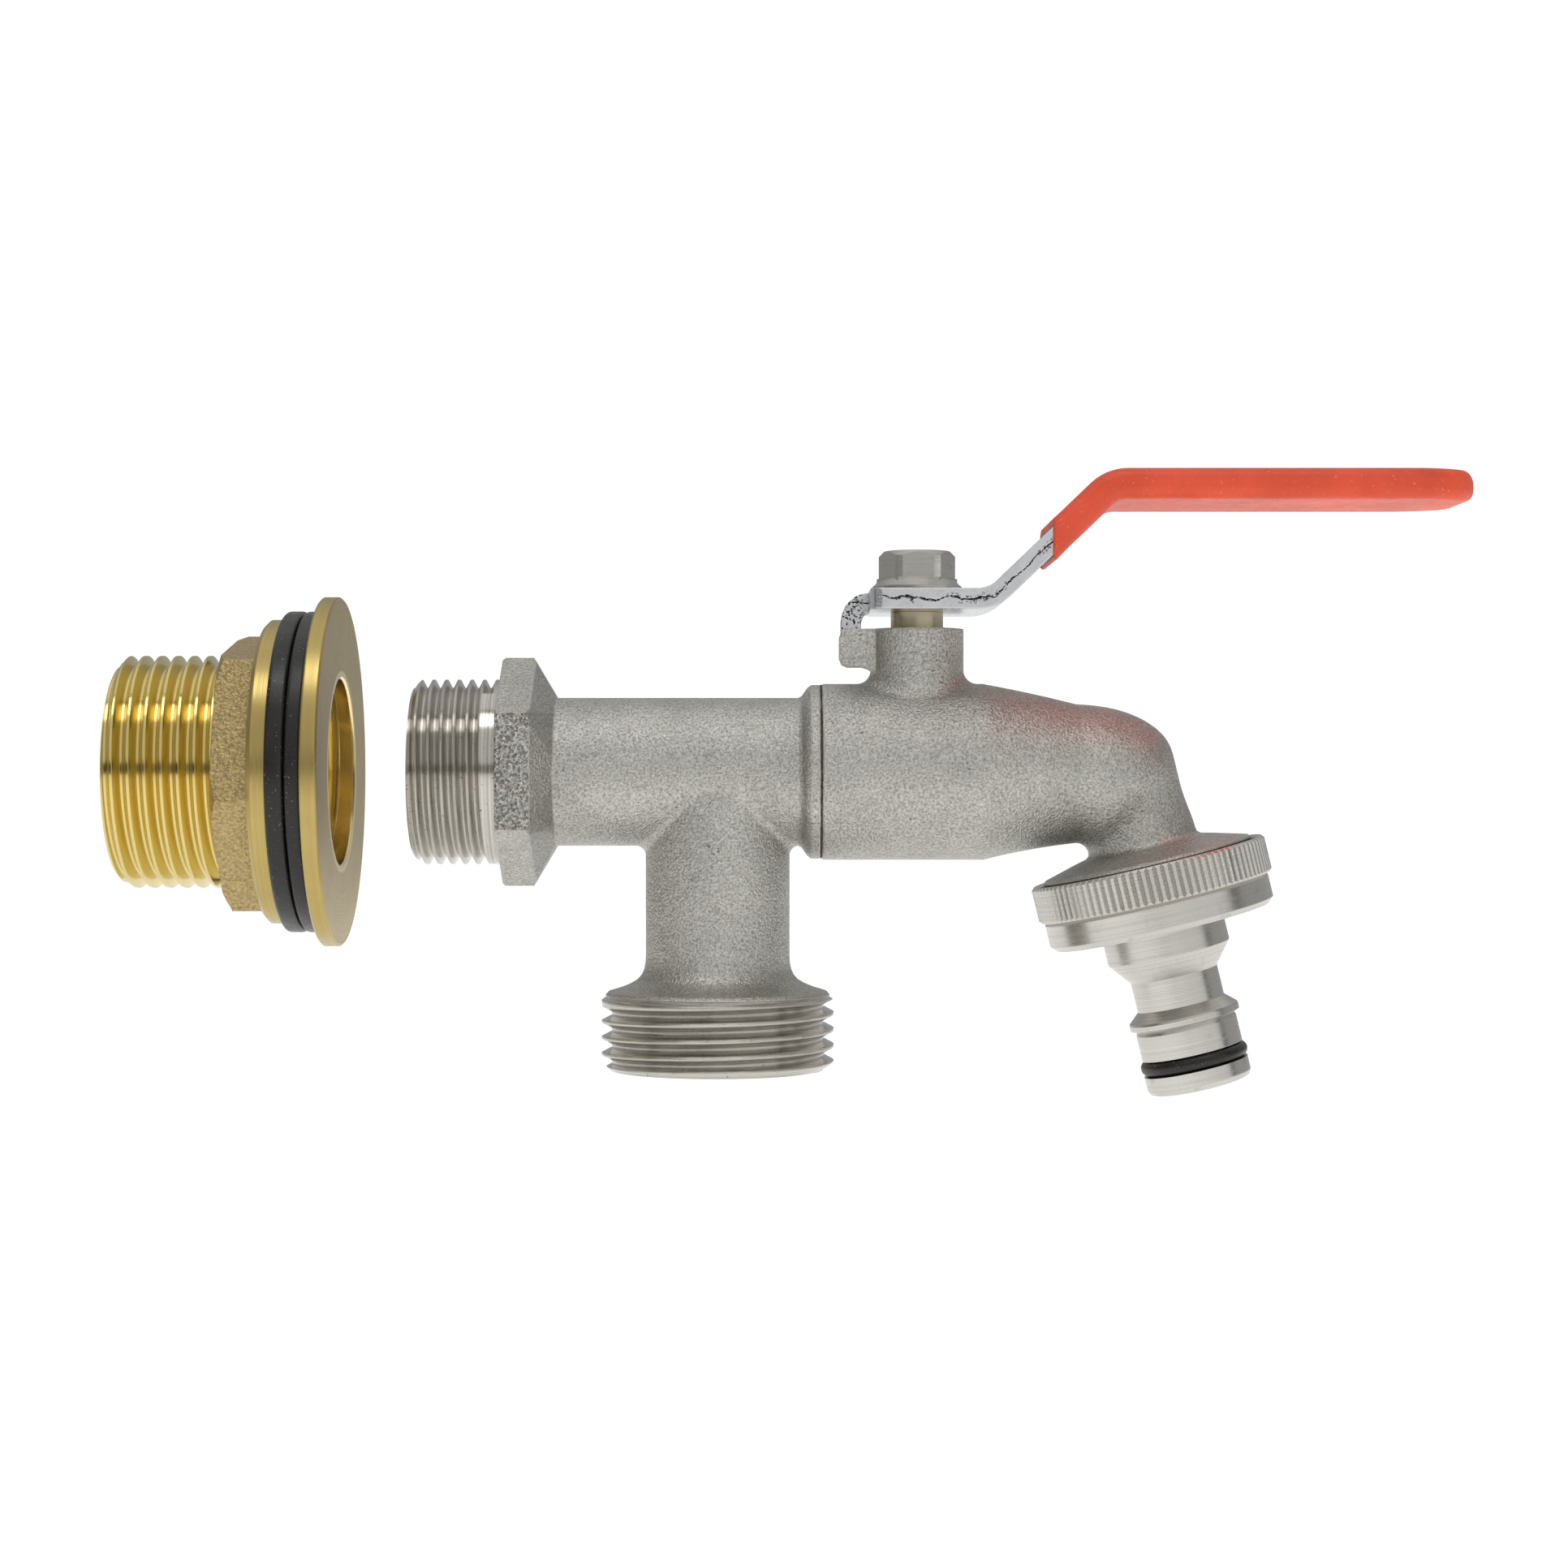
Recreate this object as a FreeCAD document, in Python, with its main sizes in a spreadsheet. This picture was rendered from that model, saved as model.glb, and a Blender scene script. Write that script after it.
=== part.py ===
import FreeCAD, Part
import math
import os
import Sketcher

# Garden hose bib: a branched tap with a quarter-turn ball valve, a click-hose
# adapter on its spout and a two-part brass tank fitting drawn out in front of
# its inlet.  The origin is the centre of the inlet's end face.  +X runs along
# the tap from the inlet to the spout, +Z is up.

doc = FreeCAD.newDocument("HoseBib")
sheet = doc.addObject("Spreadsheet::Sheet", "Dims")

SIZES = {
    # inlet: G3/4 pipe thread, plain land and spanner hexagon
    "inlet_crest_dia": 26.441,
    "inlet_pitch": 1.814,
    "inlet_thread_len": 11.05,
    "inlet_land_len": 1.5,
    "inlet_hex_rise": 0.93,
    "inlet_hex_len": 4.8,
    "inlet_hex_slope": 3.0,
    # tee: main tube, body collar and side branch with a G1 thread
    "tee_length": 58.1,
    "tube_dia": 21.2,
    "water_bore": 13.0,
    "collar_step": 0.15,
    "collar_len": 3.3,
    "spigot_play": 0.1,
    "spigot_len": 4.4,
    "branch_pos": 43.3,
    "branch_dia": 20.6,
    "branch_bore": 15.0,
    "branch_drop": 42.6,
    "branch_crest_dia": 33.249,
    "branch_pitch": 2.309,
    "branch_thread_len": 10.7,
    # valve housing and spout
    "cavity_gap": 1.3,
    "shell_wall": 2.3,
    "barrel_past_ball": 0.65,
    "elbow_reach": 23.3,
    "spout_drop": 12.8,
    "spout_tilt": 13.5,
    "elbow_gap": 1.9,
    "elbow_dia": 19.9,
    "neck_dia": 15.7,
    "outlet_bore": 11.0,
    "outlet_collar_dia": 30.2,
    "outlet_crest_dia": 26.441,
    "outlet_pitch": 1.814,
    "outlet_thread_end": 6.9,
    # quarter-turn valve
    "seat_gap": 0.2,
    "boss_dia": 13.3,
    "boss_height": 7.8,
    "ball_dia": 18.0,
    "ball_bore": 11.0,
    "ball_slot": 2.6,
    "ball_play": 0.05,
    "stem_dia": 7.5,
    "stem_foot_dia": 9.4,
    "stem_play": 0.05,
    "stem_tang_flats": 5.0,
    "stem_screw_dia": 6.0,
    "seal_groove_dia": 5.4,
    "seal_section": 1.9,
    "washer_thickness": 0.6,
    # lever, its sleeve and its nut
    "plate_thickness": 2.9,
    "plate_width": 22.0,
    "plate_gap": 2.4,
    "head_reach": 6.9,
    "lever_rise": 16.1,
    "lever_bend_near": 10.2,
    "lever_bend_far": 27.0,
    "lever_reach": 79.1,
    "sleeve_wall": 0.75,
    "sleeve_start": 18.6,
    "nut_flats": 10.0,
    "nut_height": 5.8,
    "nut_flange_dia": 12.8,
    "nut_flange_height": 1.9,
    # stops
    "stop_reach": 11.2,
    "stop_height": 5.5,
    "stop_width": 2.8,
    "stop_play": 0.1,
    # click-hose adapter
    "knurl_dia": 34.0,
    "knurl_len": 4.9,
    "knurl_count": 96,
    "ring_len": 9.6,
    "ring_band_dia": 32.6,
    "plug_bore": 9.5,
    "plug_shoulder_dia": 17.7,
    "plug_neck_dia": 12.6,
    "plug_ridge_dia": 15.9,
    "plug_barrel_dia": 14.6,
    "plug_tip_dia": 15.1,
    "plug_seal_pos": 29.0,
    "plug_seal_section": 2.2,
    "plug_seal_dia": 15.5,
    "plug_len": 33.0,
    # tank fitting
    "fitting_gap": 10.55,
    "thread_play": 0.1,
    "flange_dia": 50.0,
    "flange_thickness": 2.35,
    "gasket_dia": 46.0,
    "outer_gasket_thickness": 2.4,
    "inner_gasket_thickness": 2.65,
    "stack_play": 0.05,
    "sleeve_tube_wall": 1.78,
    "sleeve_tube_len": 11.7,
    "connector_ring_rim": 6.65,
    "connector_ring_len": 2.65,
    "connector_hex_wall": 2.9,
    "connector_hex_len": 5.3,
    "connector_hex_turn": 18.5,
    "tank_crest_dia": 33.249,
    "tank_pitch": 2.309,
    "tank_thread_len": 15.85,
    "tank_bore": 24.4,
}
for row, (alias, size) in enumerate(SIZES.items(), start=1):
    sheet.set("A%d" % row, alias)
    sheet.set("B%d" % row, str(size))
    sheet.setAlias("B%d" % row, alias)
doc.recompute()

# Sizes and places that follow from the ones above.
ball_r = "(Dims.ball_dia / 2)"
cavity_r = "(%s + Dims.cavity_gap)" % ball_r
shell_r = "(%s + Dims.shell_wall)" % cavity_r
collar_r = "(%s - Dims.collar_step)" % shell_r
spigot_r = "(%s - Dims.spigot_play)" % cavity_r
seat_back = "(%s + 0.15)" % ball_r
stem_pos = "(Dims.spigot_len + Dims.seat_gap + %s)" % seat_back
cavity_end = "(%s + %s + 0.2)" % (stem_pos, ball_r)
barrel_len = "(%s + %s + Dims.barrel_past_ball)" % (stem_pos, ball_r)
spout_reach = "(%s + Dims.elbow_reach)" % barrel_len
boss_top = "(%s + Dims.boss_height)" % shell_r
plate_low = "(%s + Dims.plate_gap)" % boss_top
plate_top = "(%s + Dims.plate_thickness)" % plate_low
inlet_flats = "(Dims.inlet_crest_dia + 2 * Dims.inlet_hex_rise)"
bore_mouth = "(Dims.inlet_crest_dia / 2 + Dims.thread_play)"
tube_r = "(%s + Dims.sleeve_tube_wall)" % bore_mouth
connector_ring_r = "(%s + Dims.connector_ring_rim)" % tube_r
connector_flats = "(2 * (%s + Dims.connector_hex_wall))" % tube_r

# The same, as numbers, for finding edges to round.
shell_size = sheet.ball_dia / 2 + sheet.cavity_gap + sheet.shell_wall
plate_middle = shell_size + sheet.boss_height + sheet.plate_gap + sheet.plate_thickness / 2

THREAD_DEPTH = "0.640327"
FLANK = "tan(27.5 deg)"
nodes = []


def new_node(label, move=None, tilt=None):
    """Start one sub-part as a PartDesign body with a bound placement."""
    body = doc.addObject("PartDesign::Body", label)
    body.Label = label
    if tilt:
        body.Placement.Rotation = FreeCAD.Rotation(FreeCAD.Vector(0, 1, 0), 1)
        body.setExpression("Placement.Rotation.Angle", tilt)
    for axis, text in (move or {}).items():
        body.setExpression("Placement.Base." + axis, text)
    nodes.append(body)
    return body


def origin_item(body, role):
    """Return the plane or axis of the body's own origin with this role."""
    return next(item for item in body.Origin.OriginFeatures if item.Role == role)


def new_sketch(body, name, plane="XZ_Plane", shift=None, turn=None, turn_axis=(0, 0, 1)):
    """Attach a sketch to an origin plane of its body, with a bound offset."""
    sketch = body.newObject("Sketcher::SketchObject", name)
    sketch.AttachmentSupport = [(origin_item(body, plane), "")]
    sketch.MapMode = "FlatFace"
    if turn:
        sketch.AttachmentOffset = FreeCAD.Placement(
            FreeCAD.Vector(), FreeCAD.Rotation(FreeCAD.Vector(*turn_axis), 1))
        sketch.setExpression("AttachmentOffset.Rotation.Angle", turn)
    for axis, text in (shift or {}).items():
        sketch.setExpression("AttachmentOffset.Base." + axis, text)
    return sketch


def bind_point(sketch, edge, point, corner):
    """Hold one point of the sketch at a bound distance from its origin."""
    for kind, text in zip(("DistanceX", "DistanceY"), corner):
        number = sketch.addConstraint(Sketcher.Constraint(kind, -1, 1, edge, point, 1.0))
        sketch.setExpression("Constraints[%d]" % number, text)


def add_outline(sketch, corners):
    """Draw a closed polygon whose corners are bound expressions."""
    count = len(corners)
    first = sketch.GeometryCount
    ring = [FreeCAD.Vector(10 * math.cos(6.283 * k / count), 10 * math.sin(6.283 * k / count), 0)
            for k in range(count)]
    for k in range(count):
        sketch.addGeometry(Part.LineSegment(ring[k], ring[(k + 1) % count]), False)
    for k in range(count):
        following = first + (k + 1) % count
        sketch.addConstraint(Sketcher.Constraint("Coincident", first + k, 2, following, 1))
        bind_point(sketch, first + k, 1, corners[k])
    return sketch


def add_circle(sketch, radius, centre=("0", "0")):
    """Draw a circle with a bound radius and centre."""
    edge = sketch.addGeometry(
        Part.Circle(FreeCAD.Vector(1, 1, 0), FreeCAD.Vector(0, 0, 1), 5), False)
    bind_point(sketch, edge, 3, centre)
    number = sketch.addConstraint(Sketcher.Constraint("Radius", edge, 5.0))
    sketch.setExpression("Constraints[%d]" % number, radius)
    return sketch


def spin(body, name, corners, axis="H_Axis", cut=False, **offset):
    """Turn an outline once round its sketch's own axis, adding or cutting."""
    sketch = add_outline(new_sketch(body, name + "Profile", **offset), corners)
    kind = "PartDesign::Groove" if cut else "PartDesign::Revolution"
    feature = body.newObject(kind, name)
    feature.Profile = sketch
    feature.ReferenceAxis = (sketch, [axis])
    feature.Angle = 360
    return feature


def raise_sketch(body, name, sketch, length, cut=False, reverse=False, centred=False):
    """Pad or pocket a sketch to a bound length."""
    feature = body.newObject("PartDesign::Pocket" if cut else "PartDesign::Pad", name)
    feature.Profile = sketch
    feature.setExpression("Length", length)
    feature.Reversed = reverse
    feature.Midplane = centred
    return feature


def round_edges(body, name, radius, wanted):
    """Round the edges of the body's latest feature that pass a test."""
    doc.recompute()
    latest = body.Tip
    picked = ["Edge%d" % number for number, edge in enumerate(latest.Shape.Edges, start=1)
              if wanted(edge.BoundBox)]
    feature = body.newObject("PartDesign::Fillet", name)
    feature.Base = (latest, picked)
    feature.Radius = radius
    return feature


def cut_thread(body, name, crest, pitch, length, axis="H_Axis", inwards=True, **offset):
    """Cut a right-handed 55 degree pipe thread into a shaft or a bore wall.

    The sketch's own axis is the thread's; its origin is the thread's free end
    and the groove starts one pitch outside it.
    """
    sketch = new_sketch(body, name + "Groove", **offset)
    side = "-" if inwards else "+"
    back = "+" if inwards else "-"
    root = "(%s / 2 %s %s * %s)" % (crest, side, THREAD_DEPTH, pitch)
    rim = "(%s / 2 %s 0.3)" % (crest, back)
    narrow = "%s / 12" % pitch
    wide = "(%s / 12 + (%s * %s + 0.3) * %s)" % (pitch, THREAD_DEPTH, pitch, FLANK)
    corners = []
    for sign, reach, radius in (("-", wide, rim), ("-", narrow, root),
                                ("+", narrow, root), ("+", wide, rim)):
        place = "-%s %s %s" % (pitch, sign, reach)
        corners.append((place, radius) if axis == "H_Axis" else (radius, place))
    add_outline(sketch, corners)
    groove = body.newObject("PartDesign::SubtractiveHelix", name)
    groove.Profile = sketch
    groove.ReferenceAxis = (sketch, [axis])
    groove.Mode = 0
    groove.setExpression("Pitch", pitch)
    groove.setExpression("Height", length + " + " + pitch)
    return groove


def hexagon(flats, turn="0 deg"):
    """Corners of a hexagon across its flats, turned from pointing along +X."""
    corner = "%s / sqrt(3)" % flats
    return [("%s * cos(%d deg + %s)" % (corner, 60 * k, turn),
             "%s * sin(%d deg + %s)" % (corner, 60 * k, turn)) for k in range(6)]


def upright(pairs):
    """Read (height, radius) pairs as corners of a profile round Z."""
    return [(radius, height) for height, radius in pairs]


def hanging(pairs):
    """Read (depth below the origin, radius) pairs as corners of a profile round Z."""
    return [(radius, "-(%s)" % depth) for depth, radius in pairs]


# ---------------------------------------------------------------- tee body
hex_start = "(Dims.inlet_thread_len + Dims.inlet_land_len)"
hex_end = "(Dims.inlet_thread_len + Dims.inlet_land_len + Dims.inlet_hex_len)"
slope_end = hex_end + " + Dims.inlet_hex_slope"
inlet_r = "Dims.inlet_crest_dia / 2"

tee = new_node("tee_body")
spin(tee, "TeeTube", [
    ("0", "0"),
    ("0", inlet_r + " - 1.1"),
    ("1.1", inlet_r),
    (hex_start + " + 0.5", inlet_r),
    (hex_start + " + 0.5", "Dims.tube_dia / 2"),
    ("Dims.tee_length - Dims.collar_len", "Dims.tube_dia / 2"),
    ("Dims.tee_length - Dims.collar_len + 0.5", "Dims.tube_dia / 2 + 0.25"),
    ("Dims.tee_length - Dims.collar_len + 1.3", collar_r + " - 0.45"),
    ("Dims.tee_length - Dims.collar_len + 1.9", collar_r),
    ("Dims.tee_length - 0.25", collar_r),
    ("Dims.tee_length", collar_r + " - 0.25"),
    ("Dims.tee_length", spigot_r),
    ("Dims.tee_length + Dims.spigot_len", spigot_r),
    ("Dims.tee_length + Dims.spigot_len", "0"),
])
hex_sketch = new_sketch(tee, "InletHexOutline", plane="YZ_Plane", shift={"z": hex_start})
add_outline(hex_sketch, hexagon(inlet_flats, "90 deg"))
raise_sketch(tee, "InletHex", hex_sketch, "Dims.inlet_hex_len")
hex_corner = inlet_flats + " / sqrt(3)"
slope_sketch = new_sketch(tee, "InletSlopeOutline", plane="YZ_Plane", shift={"z": hex_end})
add_outline(slope_sketch, hexagon(inlet_flats, "90 deg"))
slope = raise_sketch(tee, "InletHexSlope", slope_sketch, "Dims.inlet_hex_slope")
slope.setExpression(
    "TaperAngle", "-atan((%s - Dims.tube_dia) / 2 / Dims.inlet_hex_slope)" % inlet_flats)
spin(tee, "InletHexCorners", [
    (hex_end + " - 0.3", hex_corner + " - 0.1"),
    (slope_end, "Dims.tube_dia / 2 + 0.1"),
    (slope_end, hex_corner + " + 2"),
    (hex_end + " - 0.3", hex_corner + " + 2"),
], cut=True)
spin(tee, "InletHexEdge", [
    (hex_start + " - 1", hex_corner + " - 0.35"),
    (hex_start, hex_corner + " - 0.35"),
    (hex_start + " + 0.3", hex_corner + " - 0.1"),
    (hex_start + " + 0.3", hex_corner + " + 2"),
    (hex_start + " - 1", hex_corner + " + 2"),
], cut=True)
branch_r = "Dims.branch_crest_dia / 2"
thread_top = "Dims.branch_drop - Dims.branch_thread_len"
spin(tee, "Branch", hanging([
    ("0", "0"),
    ("0", "Dims.branch_dia / 2"),
    (thread_top + " - 5.6", "Dims.branch_dia / 2"),
    (thread_top + " - 4.6", "Dims.branch_dia / 2 + 0.06"),
    (thread_top + " - 3.7", "Dims.branch_dia / 2 + 0.24"),
    (thread_top + " - 2.9", "Dims.branch_dia / 2 + 0.58"),
    (thread_top + " - 2.2", "Dims.branch_dia / 2 + 1.2"),
    (thread_top + " - 1.6", "Dims.branch_dia / 2 + 2.2"),
    (thread_top + " - 1.05", "Dims.branch_dia / 2 + 3.5"),
    (thread_top + " - 0.5", branch_r + " - 1.0"),
    (thread_top, branch_r + " - 0.55"),
    (thread_top + " + 0.2", branch_r + " - 0.75"),
    (thread_top + " + 0.7", branch_r),
    ("Dims.branch_drop - 1.2", branch_r),
    ("Dims.branch_drop", branch_r + " - 1.2"),
    ("Dims.branch_drop", "0"),
]), axis="V_Axis", shift={"x": "Dims.branch_pos"})
round_edges(tee, "BranchRoot", 1.4, lambda box: (
    box.ZMin > -sheet.tube_dia / 2 - 0.1 and box.ZMax < 0 and box.XLength > 1 and box.YLength > 1
    and abs(box.Center.x - sheet.branch_pos) < sheet.branch_dia / 2 + 0.1))
spin(tee, "InletBore", [
    ("-1", "0"),
    ("-1", "Dims.water_bore / 2"),
    ("Dims.tee_length + 9", "Dims.water_bore / 2"),
    ("Dims.tee_length + 9", "0"),
], cut=True)
spin(tee, "BranchBore", hanging([
    ("0", "0"),
    ("0", "Dims.branch_bore / 2 - 1.5"),
    ("Dims.tube_dia / 2 + 3", "Dims.branch_bore / 2 - 1.5"),
    ("Dims.tube_dia / 2 + 3", "Dims.branch_bore / 2"),
    ("Dims.branch_drop - 3", "Dims.branch_bore / 2"),
    ("Dims.branch_drop - 3", "Dims.branch_bore / 2 + 3.5"),
    ("Dims.branch_drop + 1", "Dims.branch_bore / 2 + 3.5"),
    ("Dims.branch_drop + 1", "0"),
]), axis="V_Axis", cut=True, shift={"x": "Dims.branch_pos"})
cut_thread(tee, "InletThread", "Dims.inlet_crest_dia", "Dims.inlet_pitch",
           "(Dims.inlet_thread_len)")
cut_thread(tee, "BranchThread", "Dims.branch_crest_dia", "Dims.branch_pitch",
           "(Dims.branch_thread_len - 0.9)", axis="V_Axis",
           shift={"x": "Dims.branch_pos", "y": "-Dims.branch_drop"})


# -------------------------------------------------------------- spout body
tilt = "(Dims.spout_tilt * 1 deg)"
neck_above = "3.06"
pivot_x = "(%s - %s * sin(%s) - (Dims.elbow_gap + Dims.neck_dia / 2) * cos(%s))" % (
    spout_reach, neck_above, tilt, tilt)
pivot_z = "(-Dims.spout_drop + %s * cos(%s) - (Dims.elbow_gap + Dims.neck_dia / 2) * sin(%s))" % (
    neck_above, tilt, tilt)
ELBOW_STEPS = 6


def elbow_share(step):
    """Share of the elbow's width left at a step: it narrows half way round."""
    place = min(1.0, max(0.0, (step / ELBOW_STEPS - 0.39) / 0.42))
    return 1 - place * place * (3 - 2 * place)


def elbow_section(body, name, step, radius=None):
    """One round section of the elbow, turned about the pivot in its crook."""
    angle = "((90 deg - %s) * %d / %d)" % (tilt, step, ELBOW_STEPS)
    outer = "(Dims.neck_dia / 2 + (Dims.elbow_dia - Dims.neck_dia) / 2 * %.4f)" % elbow_share(step)
    reach = "(Dims.elbow_gap + %s)" % outer
    sketch = new_sketch(body, name, plane="YZ_Plane", turn=angle, turn_axis=(1, 0, 0), shift={
        "y": "%s + %s * cos(%s)" % (pivot_z, reach, angle),
        "z": "%s + %s * sin(%s)" % (pivot_x, reach, angle)})
    return add_circle(sketch, radius or outer)


def loft(body, name, sections, cut=False):
    """Skin a row of sections, adding or cutting."""
    feature = body.newObject("PartDesign::SubtractiveLoft" if cut else "PartDesign::AdditiveLoft", name)
    feature.Profile = sections[0]
    feature.Sections = sections[1:]
    feature.Ruled = False
    return feature


spout = new_node("spout_body", move={"x": "Dims.tee_length"})
spin(spout, "Barrel", [
    ("0", "0"),
    ("0", shell_r + " - 0.3"),
    ("0.3", shell_r),
    (barrel_len, shell_r),
    (barrel_len, "0"),
])
boss_sketch = new_sketch(spout, "BossOutline", plane="XY_Plane", shift={"x": stem_pos})
add_circle(boss_sketch, "Dims.boss_dia / 2")
raise_sketch(spout, "Boss", boss_sketch, boss_top)
round_edges(spout, "BossRoot", 2.0, lambda box: (
    box.ZMin > shell_size * 0.7 and box.ZMax < shell_size + 0.1
    and box.XLength > sheet.boss_dia * 0.9 and box.YLength < sheet.boss_dia * 0.6))
middle = add_circle(
    new_sketch(spout, "TaperMiddle", plane="YZ_Plane", shift={
        "z": "(%s + %s) / 2" % (barrel_len, pivot_x), "y": "0.05"}),
    "(0.53 * Dims.elbow_dia / 2 + 0.47 * %s)" % shell_r)
start = add_circle(
    new_sketch(spout, "TaperStart", plane="YZ_Plane", shift={"z": barrel_len}),
    shell_r + " - 0.05")
bends = [elbow_section(spout, "Elbow%d" % step, step) for step in range(ELBOW_STEPS + 1)]
loft(spout, "Taper", [start, middle, bends[0]])
loft(spout, "Elbow", bends)
outlet = {"shift": {"x": spout_reach, "y": "-Dims.spout_drop"}, "turn": tilt}
outlet_r = "Dims.outlet_crest_dia / 2"
spin(spout, "Outlet", hanging([
    ("-" + neck_above, "0"),
    ("-" + neck_above, "Dims.neck_dia / 2"),
    ("-2.6", "Dims.neck_dia / 2 + 0.1"),
    ("-2.2", "Dims.neck_dia / 2 + 0.6"),
    ("-1.7", "Dims.neck_dia / 2 + 2.6"),
    ("-0.5", "Dims.outlet_collar_dia / 2 - 0.3"),
    ("-0.2", "Dims.outlet_collar_dia / 2"),
    ("0.5", "Dims.outlet_collar_dia / 2"),
    ("0.5", outlet_r),
    ("Dims.outlet_thread_end - 0.9", outlet_r),
    ("Dims.outlet_thread_end", outlet_r + " - 0.9"),
    ("Dims.outlet_thread_end", "0"),
]), axis="V_Axis", **outlet)
lug_low = boss_top + " - Dims.stop_height"
lug_sketch = new_sketch(spout, "OpenStopOutline", shift={"x": stem_pos})
add_outline(lug_sketch, [
    ("-Dims.boss_dia / 2 + 1", boss_top),
    ("-Dims.stop_reach + 1.2", boss_top),
    ("-Dims.stop_reach + 0.35", boss_top + " - 0.35"),
    ("-Dims.stop_reach", boss_top + " - 1.2"),
    ("-Dims.stop_reach", lug_low + " + 1.2"),
    ("-Dims.stop_reach + 0.35", lug_low + " + 0.35"),
    ("-Dims.stop_reach + 1.2", lug_low),
    ("-Dims.boss_dia / 2 - 1.4", lug_low),
    ("-Dims.boss_dia / 2 - 0.5", lug_low + " - 0.25"),
    ("-Dims.boss_dia / 2 + 1", lug_low + " - 1.2"),
])
raise_sketch(spout, "OpenStop", lug_sketch, "Dims.stop_width")
tab_width = "(Dims.stop_width * 1.4)"
far_sketch = new_sketch(spout, "ClosedStopOutline", plane="YZ_Plane", shift={
    "z": "%s + %s + 2 * Dims.stop_play" % (stem_pos, tab_width)})
add_outline(far_sketch, [
    ("Dims.boss_dia / 2 - 2.5", boss_top),
    ("Dims.stop_reach - 0.8", boss_top),
    ("Dims.stop_reach", boss_top + " - 0.8"),
    ("Dims.stop_reach", lug_low + " + 0.8"),
    ("Dims.stop_reach - 0.8", lug_low),
    ("Dims.boss_dia / 2 - 2.5", lug_low),
])
raise_sketch(spout, "ClosedStop", far_sketch, "Dims.stop_width")
spin(spout, "Cavity", [
    ("-1", "0"),
    ("-1", cavity_r + " + 0.95"),
    ("1", cavity_r + " + 0.95"),
    ("1", cavity_r),
    (cavity_end, cavity_r),
    (cavity_end, "0"),
], cut=True)
foot_low = "(%s + 0.4)" % ball_r
foot_top = "(%s + 2)" % ball_r
spin(spout, "StemBore", upright([
    ("0", "0"),
    ("0", "Dims.stem_foot_dia / 2 + 2 * Dims.stem_play"),
    (foot_top + " + Dims.washer_thickness + Dims.stem_play",
     "Dims.stem_foot_dia / 2 + 2 * Dims.stem_play"),
    (foot_top + " + Dims.washer_thickness + Dims.stem_play", "Dims.stem_dia / 2 + Dims.stem_play"),
    (boss_top + " + 1", "Dims.stem_dia / 2 + Dims.stem_play"),
    (boss_top + " + 1", "0"),
]), axis="V_Axis", cut=True, shift={"x": stem_pos})
bore_r = "Dims.outlet_bore / 2"
spin(spout, "ValveOutlet", [
    (cavity_end + " - 0.5", "0"),
    (cavity_end + " - 0.5", bore_r),
    (pivot_x, bore_r),
    (pivot_x, "0"),
], cut=True)
bore_bends = [elbow_section(spout, "Bore%d" % step, step, bore_r + " - 0.15")
              for step in range(ELBOW_STEPS + 1)]
loft(spout, "WaterWay", bore_bends, cut=True)
spin(spout, "OutletBore", hanging([
    ("-%s - 0.2" % neck_above, "0"),
    ("-%s - 0.2" % neck_above, bore_r),
    ("Dims.outlet_thread_end + 1", bore_r),
    ("Dims.outlet_thread_end + 1", "0"),
]), axis="V_Axis", cut=True, **outlet)

# -------------------------------------------------------- valve internals
stem_x = "Dims.tee_length + " + stem_pos


def primitive(kind, name, sizes, place=None):
    """Make a Part primitive whose sizes and position are bound."""
    shape = doc.addObject(kind, name)
    for field, text in sizes.items():
        shape.setExpression(field, text)
    for axis, text in (place or {}).items():
        shape.setExpression("Placement.Base." + axis, text)
    return shape


def rod_along_x(name, radius, length, start):
    """A round bar along X from a bound start."""
    rod = doc.addObject("Part::Cylinder", name)
    rod.Placement.Rotation = FreeCAD.Rotation(FreeCAD.Vector(0, 1, 0), 90)
    rod.setExpression("Radius", radius)
    rod.setExpression("Height", length)
    rod.setExpression("Placement.Base.x", start)
    return rod


def cut_node(label, base, tools, move):
    """Cut tools out of a base and place the result as a sub-part."""
    joined = tools[0]
    if len(tools) > 1:
        joined = doc.addObject("Part::MultiFuse", label + "_tools")
        joined.Shapes = tools
    result = doc.addObject("Part::Cut", label)
    result.Base = base
    result.Tool = joined
    result.Label = label
    for axis, text in move.items():
        result.setExpression("Placement.Base." + axis, text)
    nodes.append(result)
    return result


slot_floor = "(%s - 2.2)" % ball_r
cut_node("ball", primitive("Part::Sphere", "BallBlank", {"Radius": ball_r}), [
    rod_along_x("BallPort", "Dims.ball_bore / 2", "Dims.ball_dia + 2", "-%s - 1" % ball_r),
    primitive("Part::Box", "BallSlot",
              {"Length": "Dims.ball_slot", "Width": "Dims.ball_dia", "Height": "4"},
              {"x": "-Dims.ball_slot / 2", "y": "-" + ball_r, "z": slot_floor}),
], {"x": stem_x})

seat_front = "(%s * 0.55)" % ball_r
for side, label in ((-1, "seat_inlet"), (1, "seat_outlet")):
    start = "-" + seat_back if side < 0 else seat_front
    cut_node(
        label,
        rod_along_x(label + "_blank", cavity_r + " - 0.05",
                    "%s - %s" % (seat_back, seat_front), start),
        [rod_along_x(label + "_port", "Dims.ball_bore / 2 + 0.05", "Dims.ball_dia + 4",
                     "-%s - 2" % ball_r),
         primitive("Part::Sphere", label + "_cup", {"Radius": ball_r + " + Dims.ball_play"})],
        {"x": stem_x})

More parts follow.
